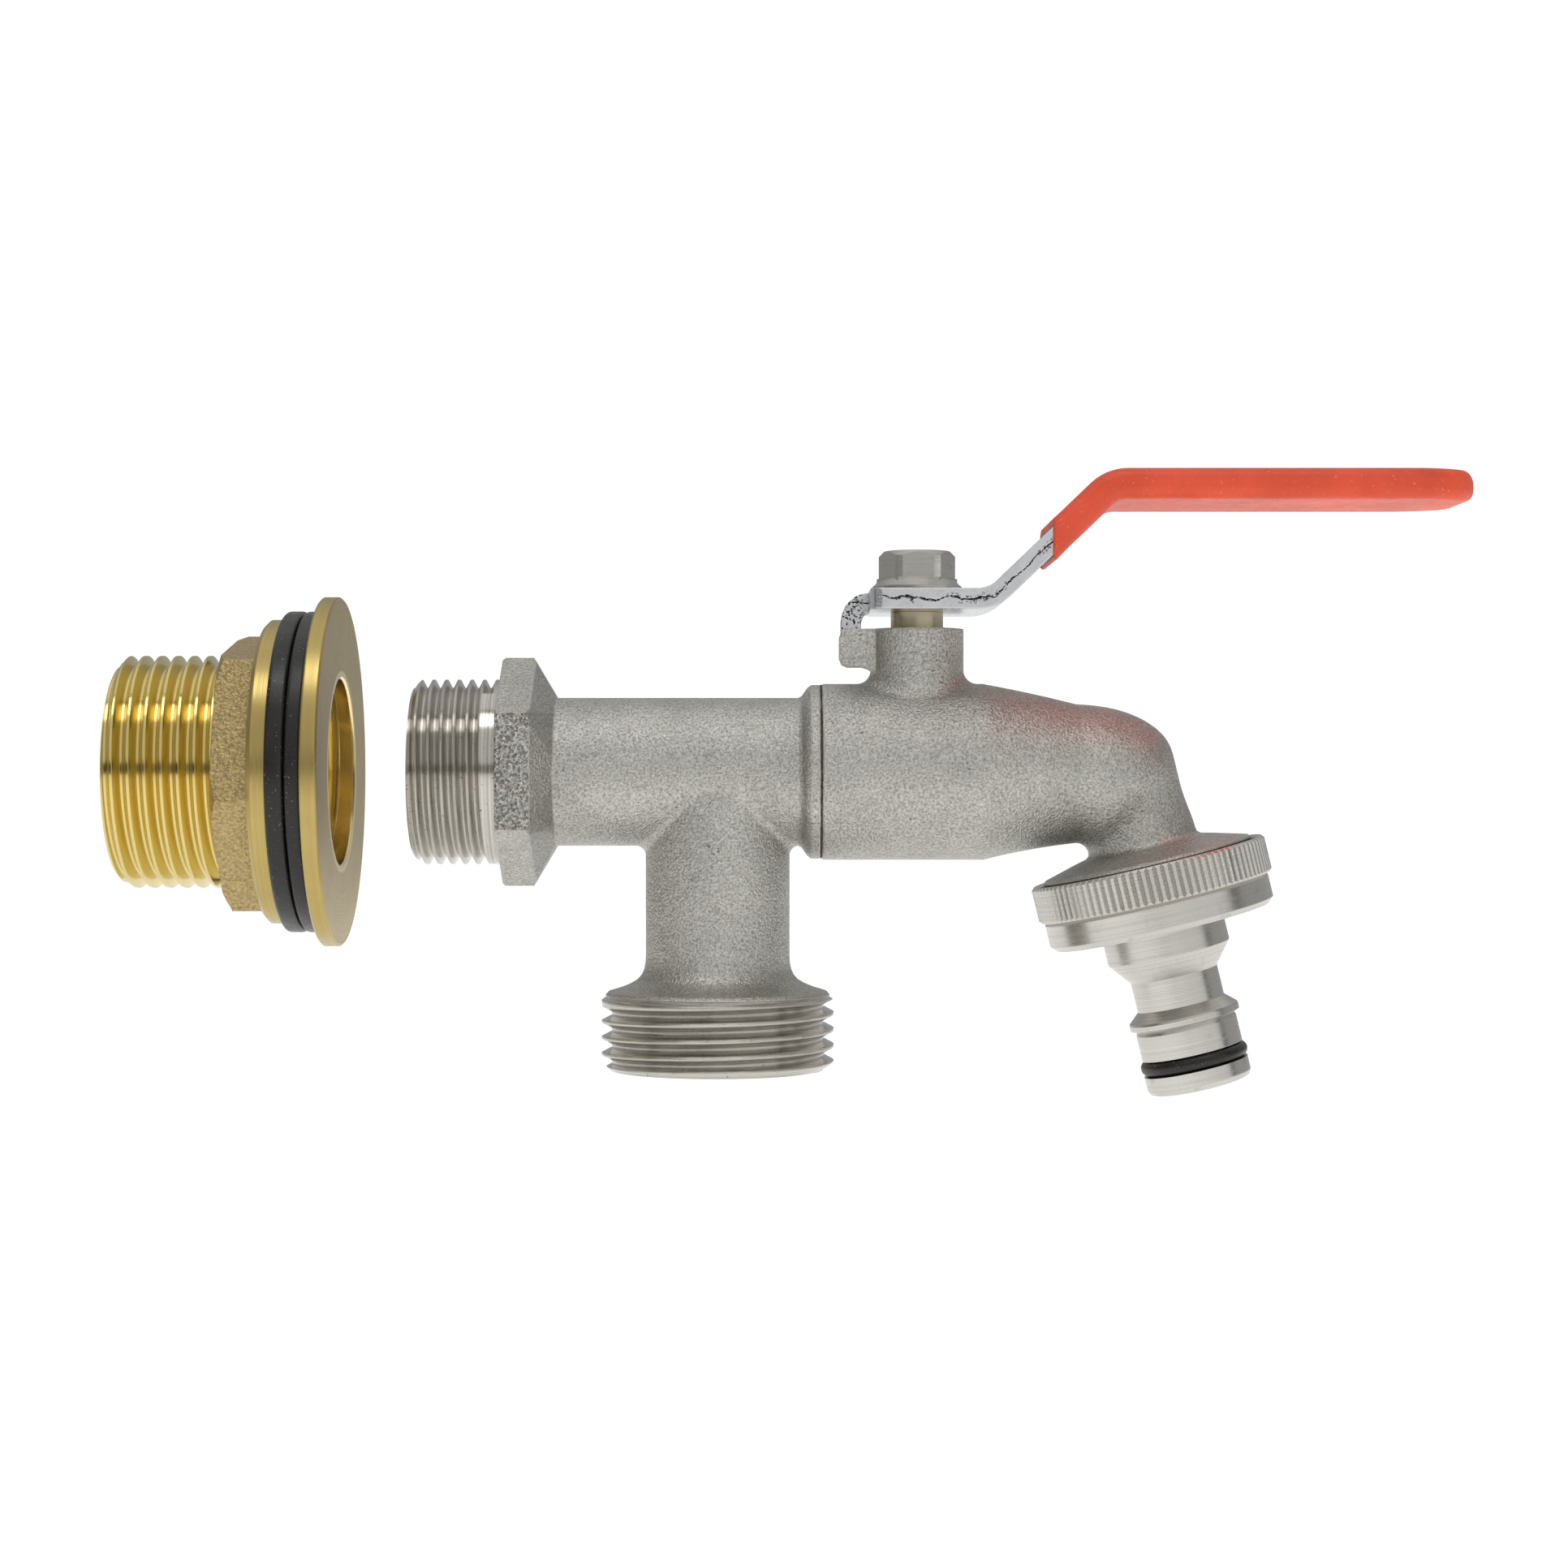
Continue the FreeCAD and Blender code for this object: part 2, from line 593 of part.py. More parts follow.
stem = new_node("stem", move={"x": stem_x})
stem_r = "Dims.stem_dia / 2"
groove_r = "Dims.seal_groove_dia / 2"
lower_seal = "(%s + Dims.washer_thickness + 1.2)" % foot_top
upper_seal = "(%s + Dims.washer_thickness + 4.4)" % foot_top
spin(stem, "Spindle", upright([
    (foot_low, "0"),
    (foot_low, "Dims.stem_foot_dia / 2"),
    (foot_top, "Dims.stem_foot_dia / 2"),
    (foot_top, stem_r),
    (lower_seal, stem_r),
    (lower_seal, groove_r),
    (lower_seal + " + Dims.seal_section", groove_r),
    (lower_seal + " + Dims.seal_section", stem_r),
    (upper_seal, stem_r),
    (upper_seal, groove_r),
    (upper_seal + " + Dims.seal_section", groove_r),
    (upper_seal + " + Dims.seal_section", stem_r),
    (plate_low + " - 0.02", stem_r),
    (plate_low + " - 0.02", "Dims.stem_screw_dia / 2"),
    (plate_top + " + Dims.nut_height - 0.8", "Dims.stem_screw_dia / 2"),
    (plate_top + " + Dims.nut_height - 0.3", "Dims.stem_screw_dia / 2 - 0.5"),
    (plate_top + " + Dims.nut_height - 0.3", "0"),
]), axis="V_Axis")
blade = new_sketch(stem, "BladeOutline", plane="XY_Plane", shift={"z": foot_low})
half_blade = "(Dims.ball_slot / 2 - Dims.stem_play)"
add_outline(blade, [(side_x + half_blade, side_y + "Dims.stem_foot_dia * 0.42")
                    for side_x, side_y in (("-", "-"), ("", "-"), ("", ""), ("-", ""))])
raise_sketch(stem, "Blade", blade, "%s - %s - 0.1" % (foot_low, slot_floor), reverse=True)
for name, side in (("NearFlat", "-"), ("FarFlat", "")):
    flat = new_sketch(stem, name + "Outline", plane="XY_Plane", shift={"z": plate_low + " - 0.02"})
    add_outline(flat, [
        ("-Dims.stem_dia", side + "Dims.stem_tang_flats / 2"),
        ("Dims.stem_dia", side + "Dims.stem_tang_flats / 2"),
        ("Dims.stem_dia", side + "Dims.stem_dia"),
        ("-Dims.stem_dia", side + "Dims.stem_dia"),
    ])
    raise_sketch(stem, name, flat, "Dims.plate_thickness", cut=True, reverse=True)

washer = new_node("thrust_washer", move={"x": stem_x})
washer_low = foot_top + " + 0.02"
spin(washer, "Washer", upright([
    (washer_low, stem_r + " + 0.04"),
    (washer_low, "Dims.stem_foot_dia / 2"),
    (washer_low + " + Dims.washer_thickness", "Dims.stem_foot_dia / 2"),
    (washer_low + " + Dims.washer_thickness", stem_r + " + 0.04"),
]), axis="V_Axis")


def seal_profile(low, height, inner, outer, corner):
    """A ring section with cut corners, as a squeezed O-ring takes."""
    return upright([
        (low + " + " + corner, inner),
        (low, inner + " + " + corner),
        (low, outer + " - " + corner),
        (low + " + " + corner, outer),
        (low + " + " + height + " - " + corner, outer),
        (low + " + " + height, outer + " - " + corner),
        (low + " + " + height, inner + " + " + corner),
        (low + " + " + height + " - " + corner, inner),
    ])


for label, low in (("stem_o_ring_lower", lower_seal), ("stem_o_ring_upper", upper_seal)):
    ring = new_node(label, move={"x": stem_x})
    spin(ring, "Ring" + label, seal_profile(
        "(%s + 0.1)" % low, "(Dims.seal_section - 0.2)", "(%s + 0.02)" % groove_r,
        "(%s + Dims.stem_play - 0.02)" % stem_r, "0.3"), axis="V_Axis")

seal = new_node("body_seal", move={"x": "Dims.tee_length"})
spin(seal, "Seal", [
    ("0.05", cavity_r + " + 0.05"),
    ("0.05", cavity_r + " + 0.9"),
    ("0.95", cavity_r + " + 0.9"),
    ("0.95", cavity_r + " + 0.05"),
])

# ------------------------------------------------------- lever and sleeve
mid_low = "(%s + Dims.plate_thickness / 2)" % plate_low
rise_angle = "atan(Dims.lever_rise / (Dims.lever_bend_far - Dims.lever_bend_near))"
run_slope = "(Dims.lever_rise / (Dims.lever_bend_far - Dims.lever_bend_near))"


def bar_outline(half, start, end, from_head):
    """Side view of the bent bar: half its thickness to each side of its middle line."""
    shift = "%s * tan(%s / 2)" % (half, rise_angle)
    high = "(%s + Dims.lever_rise)" % mid_low
    if from_head:
        first = [(start, "%s + %s" % (mid_low, half)), (start, "%s - %s" % (mid_low, half)),
                 ("Dims.lever_bend_near + " + shift, "%s - %s" % (mid_low, half))]
        last = [("Dims.lever_bend_near - " + shift, "%s + %s" % (mid_low, half))]
    else:
        middle = "(%s + (%s - Dims.lever_bend_near) * %s)" % (mid_low, start, run_slope)
        first = [(start, "%s + %s / cos(%s)" % (middle, half, rise_angle)),
                 (start, "%s - %s / cos(%s)" % (middle, half, rise_angle))]
        last = []
    return first + [
        ("Dims.lever_bend_far + " + shift, "%s - %s" % (high, half)),
        (end, "%s - %s" % (high, half)),
        (end, "%s + %s" % (high, half)),
        ("Dims.lever_bend_far - " + shift, "%s + %s" % (high, half)),
    ] + last


def bent_bar(body, half, start, end, width, tip_round, from_head):
    """The bent flat bar with rounded bends and a rounded tip."""
    outline = add_outline(new_sketch(body, body.Name + "Side"), bar_outline(half, start, end, from_head))
    raise_sketch(body, body.Name + "Bar", outline, width, centred=True)
    near, far = sheet.lever_bend_near, sheet.lever_bend_far
    high = plate_middle + sheet.lever_rise

    def is_bend(box, place, height, outer):
        across = box.YLength > sheet.plate_width * 0.9 and box.XLength < 0.01
        return (across and abs(box.Center.x - place) < 2 and abs(box.Center.z - height) < 3
                and (box.Center.z > height) == outer)

    round_edges(body, body.Name + "OuterBends", 6.9, lambda box: (
        is_bend(box, far, high, True) or (from_head and is_bend(box, near, plate_middle, False))))
    round_edges(body, body.Name + "InnerBends", 4.0, lambda box: (
        is_bend(box, far, high, False) or (from_head and is_bend(box, near, plate_middle, True))))
    round_edges(body, body.Name + "Tip", tip_round, lambda box: (
        box.ZLength > 1 and box.XLength < 0.01 and box.YLength < 0.01
        and box.Center.x > sheet.lever_reach - 3))
    return body


half_plate = "(Dims.plate_thickness / 2)"
lever = new_node("lever", move={"x": stem_x})
bent_bar(lever, half_plate, "-Dims.head_reach", "(Dims.lever_reach - Dims.sleeve_wall)",
         "Dims.plate_width", 9.0, True)
round_edges(lever, "HeadRound", 1.6, lambda box: (
    box.ZLength > 1 and box.XLength < 0.01 and box.YLength < 0.01 and box.Center.x < 0))
tab_sketch = new_sketch(lever, "TabOutline", shift={"z": "-(%s + Dims.stop_play)" % tab_width})
tab_out = "-(Dims.stop_reach - 0.3)"
tab_bend = 4.2
BEND_STEPS = 6
tab_corners = [("-4", plate_top)]
for step in range(BEND_STEPS + 1):
    turned = math.radians(90 * step / BEND_STEPS)
    tab_corners.append(("%s + %.4f" % (tab_out, tab_bend * (1 - math.sin(turned))),
                        "%s - %.4f" % (plate_top, tab_bend * (1 - math.cos(turned)))))
add_outline(tab_sketch, tab_corners + [
    (tab_out, lug_low + " + 1"),
    (tab_out + " + Dims.plate_thickness", lug_low + " + 1"),
    (tab_out + " + Dims.plate_thickness", plate_low + " - 1.3"),
    (tab_out + " + Dims.plate_thickness + 0.4", plate_low + " - 0.4"),
    (tab_out + " + Dims.plate_thickness + 1.3", plate_low),
    ("-4", plate_low),
])
raise_sketch(lever, "Tab", tab_sketch, tab_width)
hole_sketch = new_sketch(lever, "HoleOutline", plane="XY_Plane", shift={"z": plate_low + " - 1"})
half_hole_x = "(Dims.stem_screw_dia / 2 + 0.05)"
half_hole_y = "(Dims.stem_tang_flats / 2 + 0.03)"
add_outline(hole_sketch, [(side_x + half_hole_x, side_y + half_hole_y)
                          for side_x, side_y in (("-", "-"), ("", "-"), ("", ""), ("-", ""))])
raise_sketch(lever, "Hole", hole_sketch, "Dims.plate_thickness + 2", cut=True, reverse=True)

grip = doc.addObject("PartDesign::Body", "GripOutside")
bent_bar(grip, "(%s + Dims.sleeve_wall)" % half_plate, "Dims.sleeve_start", "Dims.lever_reach",
         "Dims.plate_width + 2 * Dims.sleeve_wall", 9.75, False)
core = doc.addObject("PartDesign::Body", "GripInside")
bent_bar(core, "(%s + 0.02)" % half_plate, "(Dims.sleeve_start - 1)",
         "(Dims.lever_reach - Dims.sleeve_wall + 0.02)",
         "Dims.plate_width + 0.04", 9.0, False)
cut_node("lever_sleeve", grip, [core], {"x": stem_x})

nut = new_node("lever_nut", move={"x": stem_x, "z": plate_top + " + 0.02"})
spin(nut, "NutFlange", upright([
    ("0", "0"),
    ("0", "Dims.nut_flange_dia / 2 - 0.1"),
    ("0.25", "Dims.nut_flange_dia / 2"),
    ("0.75", "Dims.nut_flange_dia / 2"),
    ("1.05", "Dims.nut_flange_dia / 2 - 0.35"),
    ("Dims.nut_flange_height", "Dims.nut_flats / 2 + 0.2"),
    ("Dims.nut_flange_height", "0"),
]), axis="V_Axis")
nut_sketch = new_sketch(nut, "NutOutline", plane="XY_Plane", shift={"z": "0.4"})
add_outline(nut_sketch, hexagon("Dims.nut_flats"))
raise_sketch(nut, "NutHex", nut_sketch, "Dims.nut_height - 0.4")
nut_corner = "Dims.nut_flats / sqrt(3)"
spin(nut, "NutCorners", upright([
    ("Dims.nut_flange_height", nut_corner + " - 0.3"),
    ("Dims.nut_height - 0.75", nut_corner + " - 0.3"),
    ("Dims.nut_height", "Dims.nut_flats / 2 - 0.25"),
    ("Dims.nut_height + 1", "Dims.nut_flats / 2 - 0.25"),
    ("Dims.nut_height + 1", nut_corner + " + 1"),
    ("Dims.nut_flange_height", nut_corner + " + 1"),
]), axis="V_Axis", cut=True)
spin(nut, "NutBore", upright([
    ("-1", "0"),
    ("-1", "Dims.stem_screw_dia / 2 + 0.05"),
    ("Dims.nut_height + 1", "Dims.stem_screw_dia / 2 + 0.05"),
    ("Dims.nut_height + 1", "0"),
]), axis="V_Axis", cut=True)

# ----------------------------------------------------- click-hose adapter
at_outlet = {"x": "Dims.tee_length + " + spout_reach, "z": "-Dims.spout_drop"}
outlet_turn = "-" + tilt
ring_r = "Dims.knurl_dia / 2"
band_r = "Dims.ring_band_dia / 2"
female_r = "Dims.outlet_crest_dia / 2 + Dims.thread_play"
washer_top = "(Dims.outlet_thread_end + 0.05)"
washer_end = "(%s + 1.5)" % washer_top
barrel_r = "Dims.plug_barrel_dia / 2"
tip_r = "Dims.plug_tip_dia / 2"
seal_half = "Dims.plug_seal_section / 2"
adapter = new_node("hose_adapter", move=at_outlet, tilt=outlet_turn)
spin(adapter, "AdapterOutside", hanging([
    ("0", "0"),
    ("0", ring_r + " - 0.4"),
    ("0.4", ring_r),
    ("Dims.knurl_len", ring_r),
    ("Dims.knurl_len + 0.35", ring_r + " - 0.35"),
    ("Dims.knurl_len + 0.35", band_r + " - 0.3"),
    ("Dims.knurl_len + 0.8", band_r),
    ("Dims.ring_len - 0.8", band_r),
    ("Dims.ring_len", band_r + " - 0.8"),
    ("Dims.ring_len", "Dims.plug_shoulder_dia / 2"),
    ("13.4", "Dims.plug_shoulder_dia / 2"),
    ("16.6", "Dims.plug_neck_dia / 2"),
    ("20.9", "Dims.plug_neck_dia / 2"),
    ("22.3", "Dims.plug_ridge_dia / 2 - 0.1"),
    ("22.6", "Dims.plug_ridge_dia / 2"),
    ("23.3", "Dims.plug_ridge_dia / 2"),
    ("23.6", barrel_r + " - 0.2"),
    ("24.2", barrel_r),
    ("Dims.plug_seal_pos - %s - 0.05" % seal_half, barrel_r),
    ("Dims.plug_seal_pos - %s - 0.05" % seal_half, "Dims.plug_seal_dia / 2 - Dims.plug_seal_section"),
    ("Dims.plug_seal_pos + %s + 0.05" % seal_half, "Dims.plug_seal_dia / 2 - Dims.plug_seal_section"),
    ("Dims.plug_seal_pos + %s + 0.05" % seal_half, tip_r),
    ("Dims.plug_len - 0.9", tip_r),
    ("Dims.plug_len - 0.25", tip_r + " - 0.3"),
    ("Dims.plug_len", tip_r + " - 0.9"),
    ("Dims.plug_len", "0"),
]), axis="V_Axis")
spin(adapter, "AdapterInside", hanging([
    ("-1", "0"),
    ("-1", ring_r + " - 0.6"),
    ("0", ring_r + " - 0.6"),
    ("0.4", ring_r + " - 0.95"),
    ("1.1", ring_r + " - 0.95"),
    ("1.1", female_r),
    (washer_end + " + 0.05", female_r),
    (washer_end + " + 0.05", "Dims.plug_bore / 2"),
    ("Dims.plug_len + 1", "Dims.plug_bore / 2"),
    ("Dims.plug_len + 1", "0"),
]), axis="V_Axis", cut=True)
tooth = new_sketch(adapter, "KnurlOutline", plane="XY_Plane", shift={"z": "0.5"})
add_outline(tooth, [
    (ring_r + " + 0.3", "-0.58"),
    (ring_r + " - 0.42", "0"),
    (ring_r + " + 0.3", "0.58"),
])
knurl = raise_sketch(adapter, "Knurl", tooth, "Dims.knurl_len + 1", cut=True)
pattern = adapter.newObject("PartDesign::PolarPattern", "KnurlRing")
pattern.Originals = [knurl]
pattern.Axis = (origin_item(adapter, "Z_Axis"), [""])
pattern.Angle = 360
pattern.setExpression("Occurrences", "Dims.knurl_count")
adapter.Tip = pattern

flat_washer = new_node("adapter_washer", move=at_outlet, tilt=outlet_turn)
spin(flat_washer, "FlatWasher", hanging([
    (washer_top, "Dims.plug_bore / 2 + 0.6"),
    (washer_top, "Dims.outlet_crest_dia / 2 - 0.4"),
    (washer_end, "Dims.outlet_crest_dia / 2 - 0.4"),
    (washer_end, "Dims.plug_bore / 2 + 0.6"),
]), axis="V_Axis")

plug_ring = doc.addObject("Part::Torus", "plug_o_ring")
plug_ring.Label = "plug_o_ring"
plug_ring.Placement.Rotation = FreeCAD.Rotation(FreeCAD.Vector(0, 1, 0), 1)
plug_ring.setExpression("Radius1", "(Dims.plug_seal_dia - Dims.plug_seal_section) / 2 + 0.02")
plug_ring.setExpression("Radius2", "Dims.plug_seal_section / 2")
plug_ring.setExpression("Placement.Rotation.Angle", outlet_turn)
plug_ring.setExpression("Placement.Base.x", at_outlet["x"] + " + Dims.plug_seal_pos * sin(%s)" % tilt)
plug_ring.setExpression("Placement.Base.z", at_outlet["z"] + " - Dims.plug_seal_pos * cos(%s)" % tilt)
nodes.append(plug_ring)

# ----------------------------------------------------------- tank fitting
flange_r = "Dims.flange_dia / 2"
flange_back = "-Dims.flange_thickness"
flange = new_node("tank_flange", move={"x": "-Dims.fitting_gap"})
spin(flange, "FlangeTurned", [
    ("0", bore_mouth + " + 0.25"),
    ("0", flange_r + " - 0.25"),
    ("-0.25", flange_r),
    (flange_back + " + 0.25", flange_r),
    (flange_back, flange_r + " - 0.25"),
    (flange_back, tube_r),
    (flange_back + " - Dims.sleeve_tube_len", tube_r),
    (flange_back + " - Dims.sleeve_tube_len", bore_mouth),
    ("-0.25", bore_mouth),
])
cut_thread(flange, "FlangeThread", "(2 * %s)" % bore_mouth, "Dims.inlet_pitch",
           "(Dims.sleeve_tube_len * 0.8)", inwards=False,
           shift={"x": flange_back + " - Dims.sleeve_tube_len * 0.8"})

outer_start = "(Dims.flange_thickness + Dims.stack_play)"
inner_start = "(%s + Dims.outer_gasket_thickness + Dims.stack_play)" % outer_start
ring_start = "(%s + Dims.inner_gasket_thickness + Dims.stack_play)" % inner_start
for label, start, thickness in (("outer_gasket", outer_start, "Dims.outer_gasket_thickness"),
                                ("inner_gasket", inner_start, "Dims.inner_gasket_thickness")):
    gasket = new_node(label, move={"x": "-Dims.fitting_gap - " + start})
    spin(gasket, "Sheet_" + label, [
        ("0", tube_r + " + 0.4"),
        ("0", "Dims.gasket_dia / 2 - 0.2"),
        ("-0.2", "Dims.gasket_dia / 2"),
        ("-%s + 0.2" % thickness, "Dims.gasket_dia / 2"),
        ("-" + thickness, "Dims.gasket_dia / 2 - 0.2"),
        ("-" + thickness, tube_r + " + 0.4"),
    ])

connector = new_node("tank_connector", move={"x": "-Dims.fitting_gap - " + ring_start})
ring_back = "-Dims.connector_ring_len"
hex_back = "(-Dims.connector_ring_len - Dims.connector_hex_len)"
thread_end = "(%s - Dims.tank_thread_len)" % hex_back
tank_r = "Dims.tank_crest_dia / 2"
seat_depth = "(Dims.sleeve_tube_len - %s + Dims.flange_thickness + 0.6)" % ring_start
spin(connector, "ConnectorTurned", [
    ("0", "Dims.tank_bore / 2"),
    ("0", connector_ring_r),
    (ring_back + " + 0.6", connector_ring_r),
    (ring_back, connector_ring_r + " - 0.6"),
    (ring_back, tank_r),
    (thread_end + " + 1.4", tank_r),
    (thread_end, tank_r + " - 1.4"),
    (thread_end, "Dims.tank_bore / 2"),
])
connector_hex = new_sketch(connector, "ConnectorHexOutline", plane="YZ_Plane", shift={"z": ring_back})
add_outline(connector_hex, hexagon(connector_flats, "(90 deg - Dims.connector_hex_turn * 1 deg)"))
raise_sketch(connector, "ConnectorHex", connector_hex, "Dims.connector_hex_len", reverse=True)
connector_corner = connector_flats + " / sqrt(3)"
spin(connector, "ConnectorHexEdge", [
    (hex_back, connector_corner + " - 1.6"),
    (hex_back + " + 0.9", connector_corner + " - 0.2"),
    (hex_back + " + 0.9", connector_corner + " + 1"),
    (hex_back + " - 1", connector_corner + " + 1"),
    (hex_back + " - 1", connector_corner + " - 1.6"),
], cut=True)
spin(connector, "ConnectorBore", [
    ("1", "0"),
    ("1", tube_r + " + 0.1"),
    ("-" + seat_depth, tube_r + " + 0.1"),
    ("-" + seat_depth, "Dims.tank_bore / 2"),
    (thread_end + " - 1", "Dims.tank_bore / 2"),
    (thread_end + " - 1", "0"),
], cut=True)
cut_thread(connector, "TankThread", "Dims.tank_crest_dia", "Dims.tank_pitch",
           "(Dims.tank_thread_len - 0.7)", shift={"x": thread_end})

# ----------------------------------------------------------------- export
doc.recompute()
for item in doc.Objects:
    if "Invalid" in item.State or "Error" in item.State:
        raise RuntimeError("not computed: %s %s" % (item.Label, item.State))
for node in nodes:
    if node.Shape.isNull() or not node.Shape.isValid():
        raise RuntimeError("bad shape: " + node.Label)
    if len(node.Shape.Solids) != 1:
        raise RuntimeError("not one solid: " + node.Label)
os.makedirs("parts", exist_ok=True)
for node in nodes:
    node.Shape.exportStep("parts/%s.step" % node.Label)
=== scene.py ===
import math

import bpy
import numpy as np
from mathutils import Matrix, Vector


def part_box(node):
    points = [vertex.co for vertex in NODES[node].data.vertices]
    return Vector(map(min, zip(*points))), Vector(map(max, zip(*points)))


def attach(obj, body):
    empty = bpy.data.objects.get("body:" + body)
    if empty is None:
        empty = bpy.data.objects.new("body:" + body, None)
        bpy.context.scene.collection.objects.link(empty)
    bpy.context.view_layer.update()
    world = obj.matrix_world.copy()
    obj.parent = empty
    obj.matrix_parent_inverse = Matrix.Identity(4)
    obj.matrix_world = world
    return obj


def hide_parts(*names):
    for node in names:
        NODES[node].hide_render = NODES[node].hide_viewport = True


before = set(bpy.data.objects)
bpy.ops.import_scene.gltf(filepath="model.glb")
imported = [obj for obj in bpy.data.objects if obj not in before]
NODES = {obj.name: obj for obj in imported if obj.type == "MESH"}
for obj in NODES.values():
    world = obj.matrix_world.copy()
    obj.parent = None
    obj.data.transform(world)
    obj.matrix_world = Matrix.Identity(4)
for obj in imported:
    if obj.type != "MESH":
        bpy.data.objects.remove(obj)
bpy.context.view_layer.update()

bl_info = {
    "name": "Hose tap finishes",
    "version": (1, 0, 0),
    "blender": (4, 5, 0),
    "location": "View3D > Sidebar > Hose tap",
    "description": "Finishes a branched garden tap, its hose adapter and its tank fitting",
    "category": "Object",
}

MM = 0.001


def linear(code):
    """Turn an sRGB hex colour into linear red, green, blue and an alpha of one."""
    parts = [int(code[k:k + 2], 16) / 255 for k in (1, 3, 5)]
    return tuple(c / 12.92 if c <= 0.04045 else ((c + 0.055) / 1.055) ** 2.4 for c in parts) + (1.0,)


def reach(node):
    """Least and greatest distance of a CAD node's vertices from the tap's long axis."""
    mesh = NODES[node].data
    places = np.empty(len(mesh.vertices) * 3, np.float32)
    mesh.vertices.foreach_get("co", places)
    places = places.reshape(-1, 3)
    away = np.hypot(places[:, 1], places[:, 2])
    return float(away.min()), float(away.max())


# boxes of the CAD nodes that the new pieces and the finishes are fitted to
SLEEVE_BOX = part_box("lever_sleeve")
LEVER_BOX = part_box("lever")
STEM_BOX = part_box("stem")
NUT_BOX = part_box("lever_nut")
TEE_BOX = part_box("tee_body")
SPOUT_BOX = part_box("spout_body")
STEM_X = (STEM_BOX[0][0] + STEM_BOX[1][0]) / 2
STEM_AXIS = (STEM_X, 0, 0)

# places of the branch and the outlet, and which stretches of the metal parts are cut and which as cast
BRANCH_AXIS = (43.3 * MM, 0, 0)
OUTLET = (104.8 * MM, 0, -12.8 * MM)
OUTLET_TILT = math.radians(-13.5)
INLET_CUT = (TEE_BOX[0][0] - 5 * MM, 12.45 * MM)
INLET_HEXAGON = (12.6 * MM, 17.4 * MM)
BRANCH_CUT = (TEE_BOX[0][2] - 5 * MM, -32.0 * MM)
CONNECTOR_HEXAGON = (-26.0 * MM, -20.8 * MM)
CONNECTOR_CUT = -26.1 * MM
CONNECTOR_BORE = 14.9 * MM
FLANGE_BORE = 14.3 * MM

# colours that only stain or tint a finish
SOOT = linear("#6E6A62")
PATINA = linear("#9C8350")
VINYL_DUST = linear("#E38A76")
RUBBER_BLOOM = linear("#5A5853")
RUBBER_DUST = linear("#8B867C")
PTFE_GROOVE = linear("#DCDAD3")
PTFE = linear("#F1EFEA")
SEALANT_CORE = linear("#2C241E")
CHROME = linear("#D5D8DB")
PAPER_SHADE = linear("#F0F0EE")
PAPER = linear("#F6F6F5")


# ------------------------------------------------------------------ settings
class CastingSettings(bpy.types.PropertyGroup):
    """Sizes and colours of the two nickel-plated castings."""
    plating: bpy.props.FloatVectorProperty(
        name="Plating", description="Colour of the nickel on the blasted skin",
        subtype="COLOR", size=4, min=0, max=1, default=linear("#C9C7C2"))
    # partly the plating's own tone, partly painted shade in the hollows of the blast dimples
    shade: bpy.props.FloatVectorProperty(
        name="Shade", description="Darker colour that the plating takes between the grains",
        subtype="COLOR", size=4, min=0, max=1, default=linear("#98958E"))
    machined: bpy.props.FloatVectorProperty(
        name="Machined", description="Colour of the cut threads",
        subtype="COLOR", size=4, min=0, max=1, default=linear("#CDC9C1"))
    stain: bpy.props.FloatVectorProperty(
        name="Stain", description="Colour of the dried sealant and the pits",
        subtype="COLOR", size=4, min=0, max=1, default=linear("#4A3A2E"))
    # painted shade: this dark colour stands in for the shade in the hollows of the hexagon's sand texture
    hollow_shade: bpy.props.FloatVectorProperty(
        name="Hollows", description="Dark colour of the hollows on the hexagon's outer flats",
        subtype="COLOR", size=4, min=0, max=1, default=linear("#55534E"))
    # painted shade: this dark colour stands in for the shadow in the joint over the adapter
    painted_joint_shade: bpy.props.FloatVectorProperty(
        name="Oil", description="Colour of the oily shadow in the joint over the adapter",
        subtype="COLOR", size=4, min=0, max=1, default=linear("#3A3834"))
    grain: bpy.props.FloatProperty(
        name="Blast grain", description="Width of one dimple left by the blasting",
        unit="LENGTH", precision=5, min=0.00005, default=0.00034)
    bead: bpy.props.FloatProperty(
        name="Sealant bead", description="Mean radius of the dried bead in the body joint",
        unit="LENGTH", precision=5, min=0.00002, default=0.00009)
    pits_at: bpy.props.FloatVectorProperty(
        name="Pits", description="Place of the largest group of pits", subtype="XYZ", unit="LENGTH",
        size=3, precision=5, default=(0.0428, -0.0098, -0.0108))
    bends: bpy.props.FloatVectorProperty(
        name="Soft bends", description="Where the spout's straight runs into its taper and its elbow",
        size=2, unit="LENGTH", precision=5, default=(0.079, 0.0975))
    bead_away: bpy.props.FloatProperty(
        name="Bead height", description="Distance of the bead from the tap's axis",
        unit="LENGTH", precision=5, min=0.001, default=0.01242)


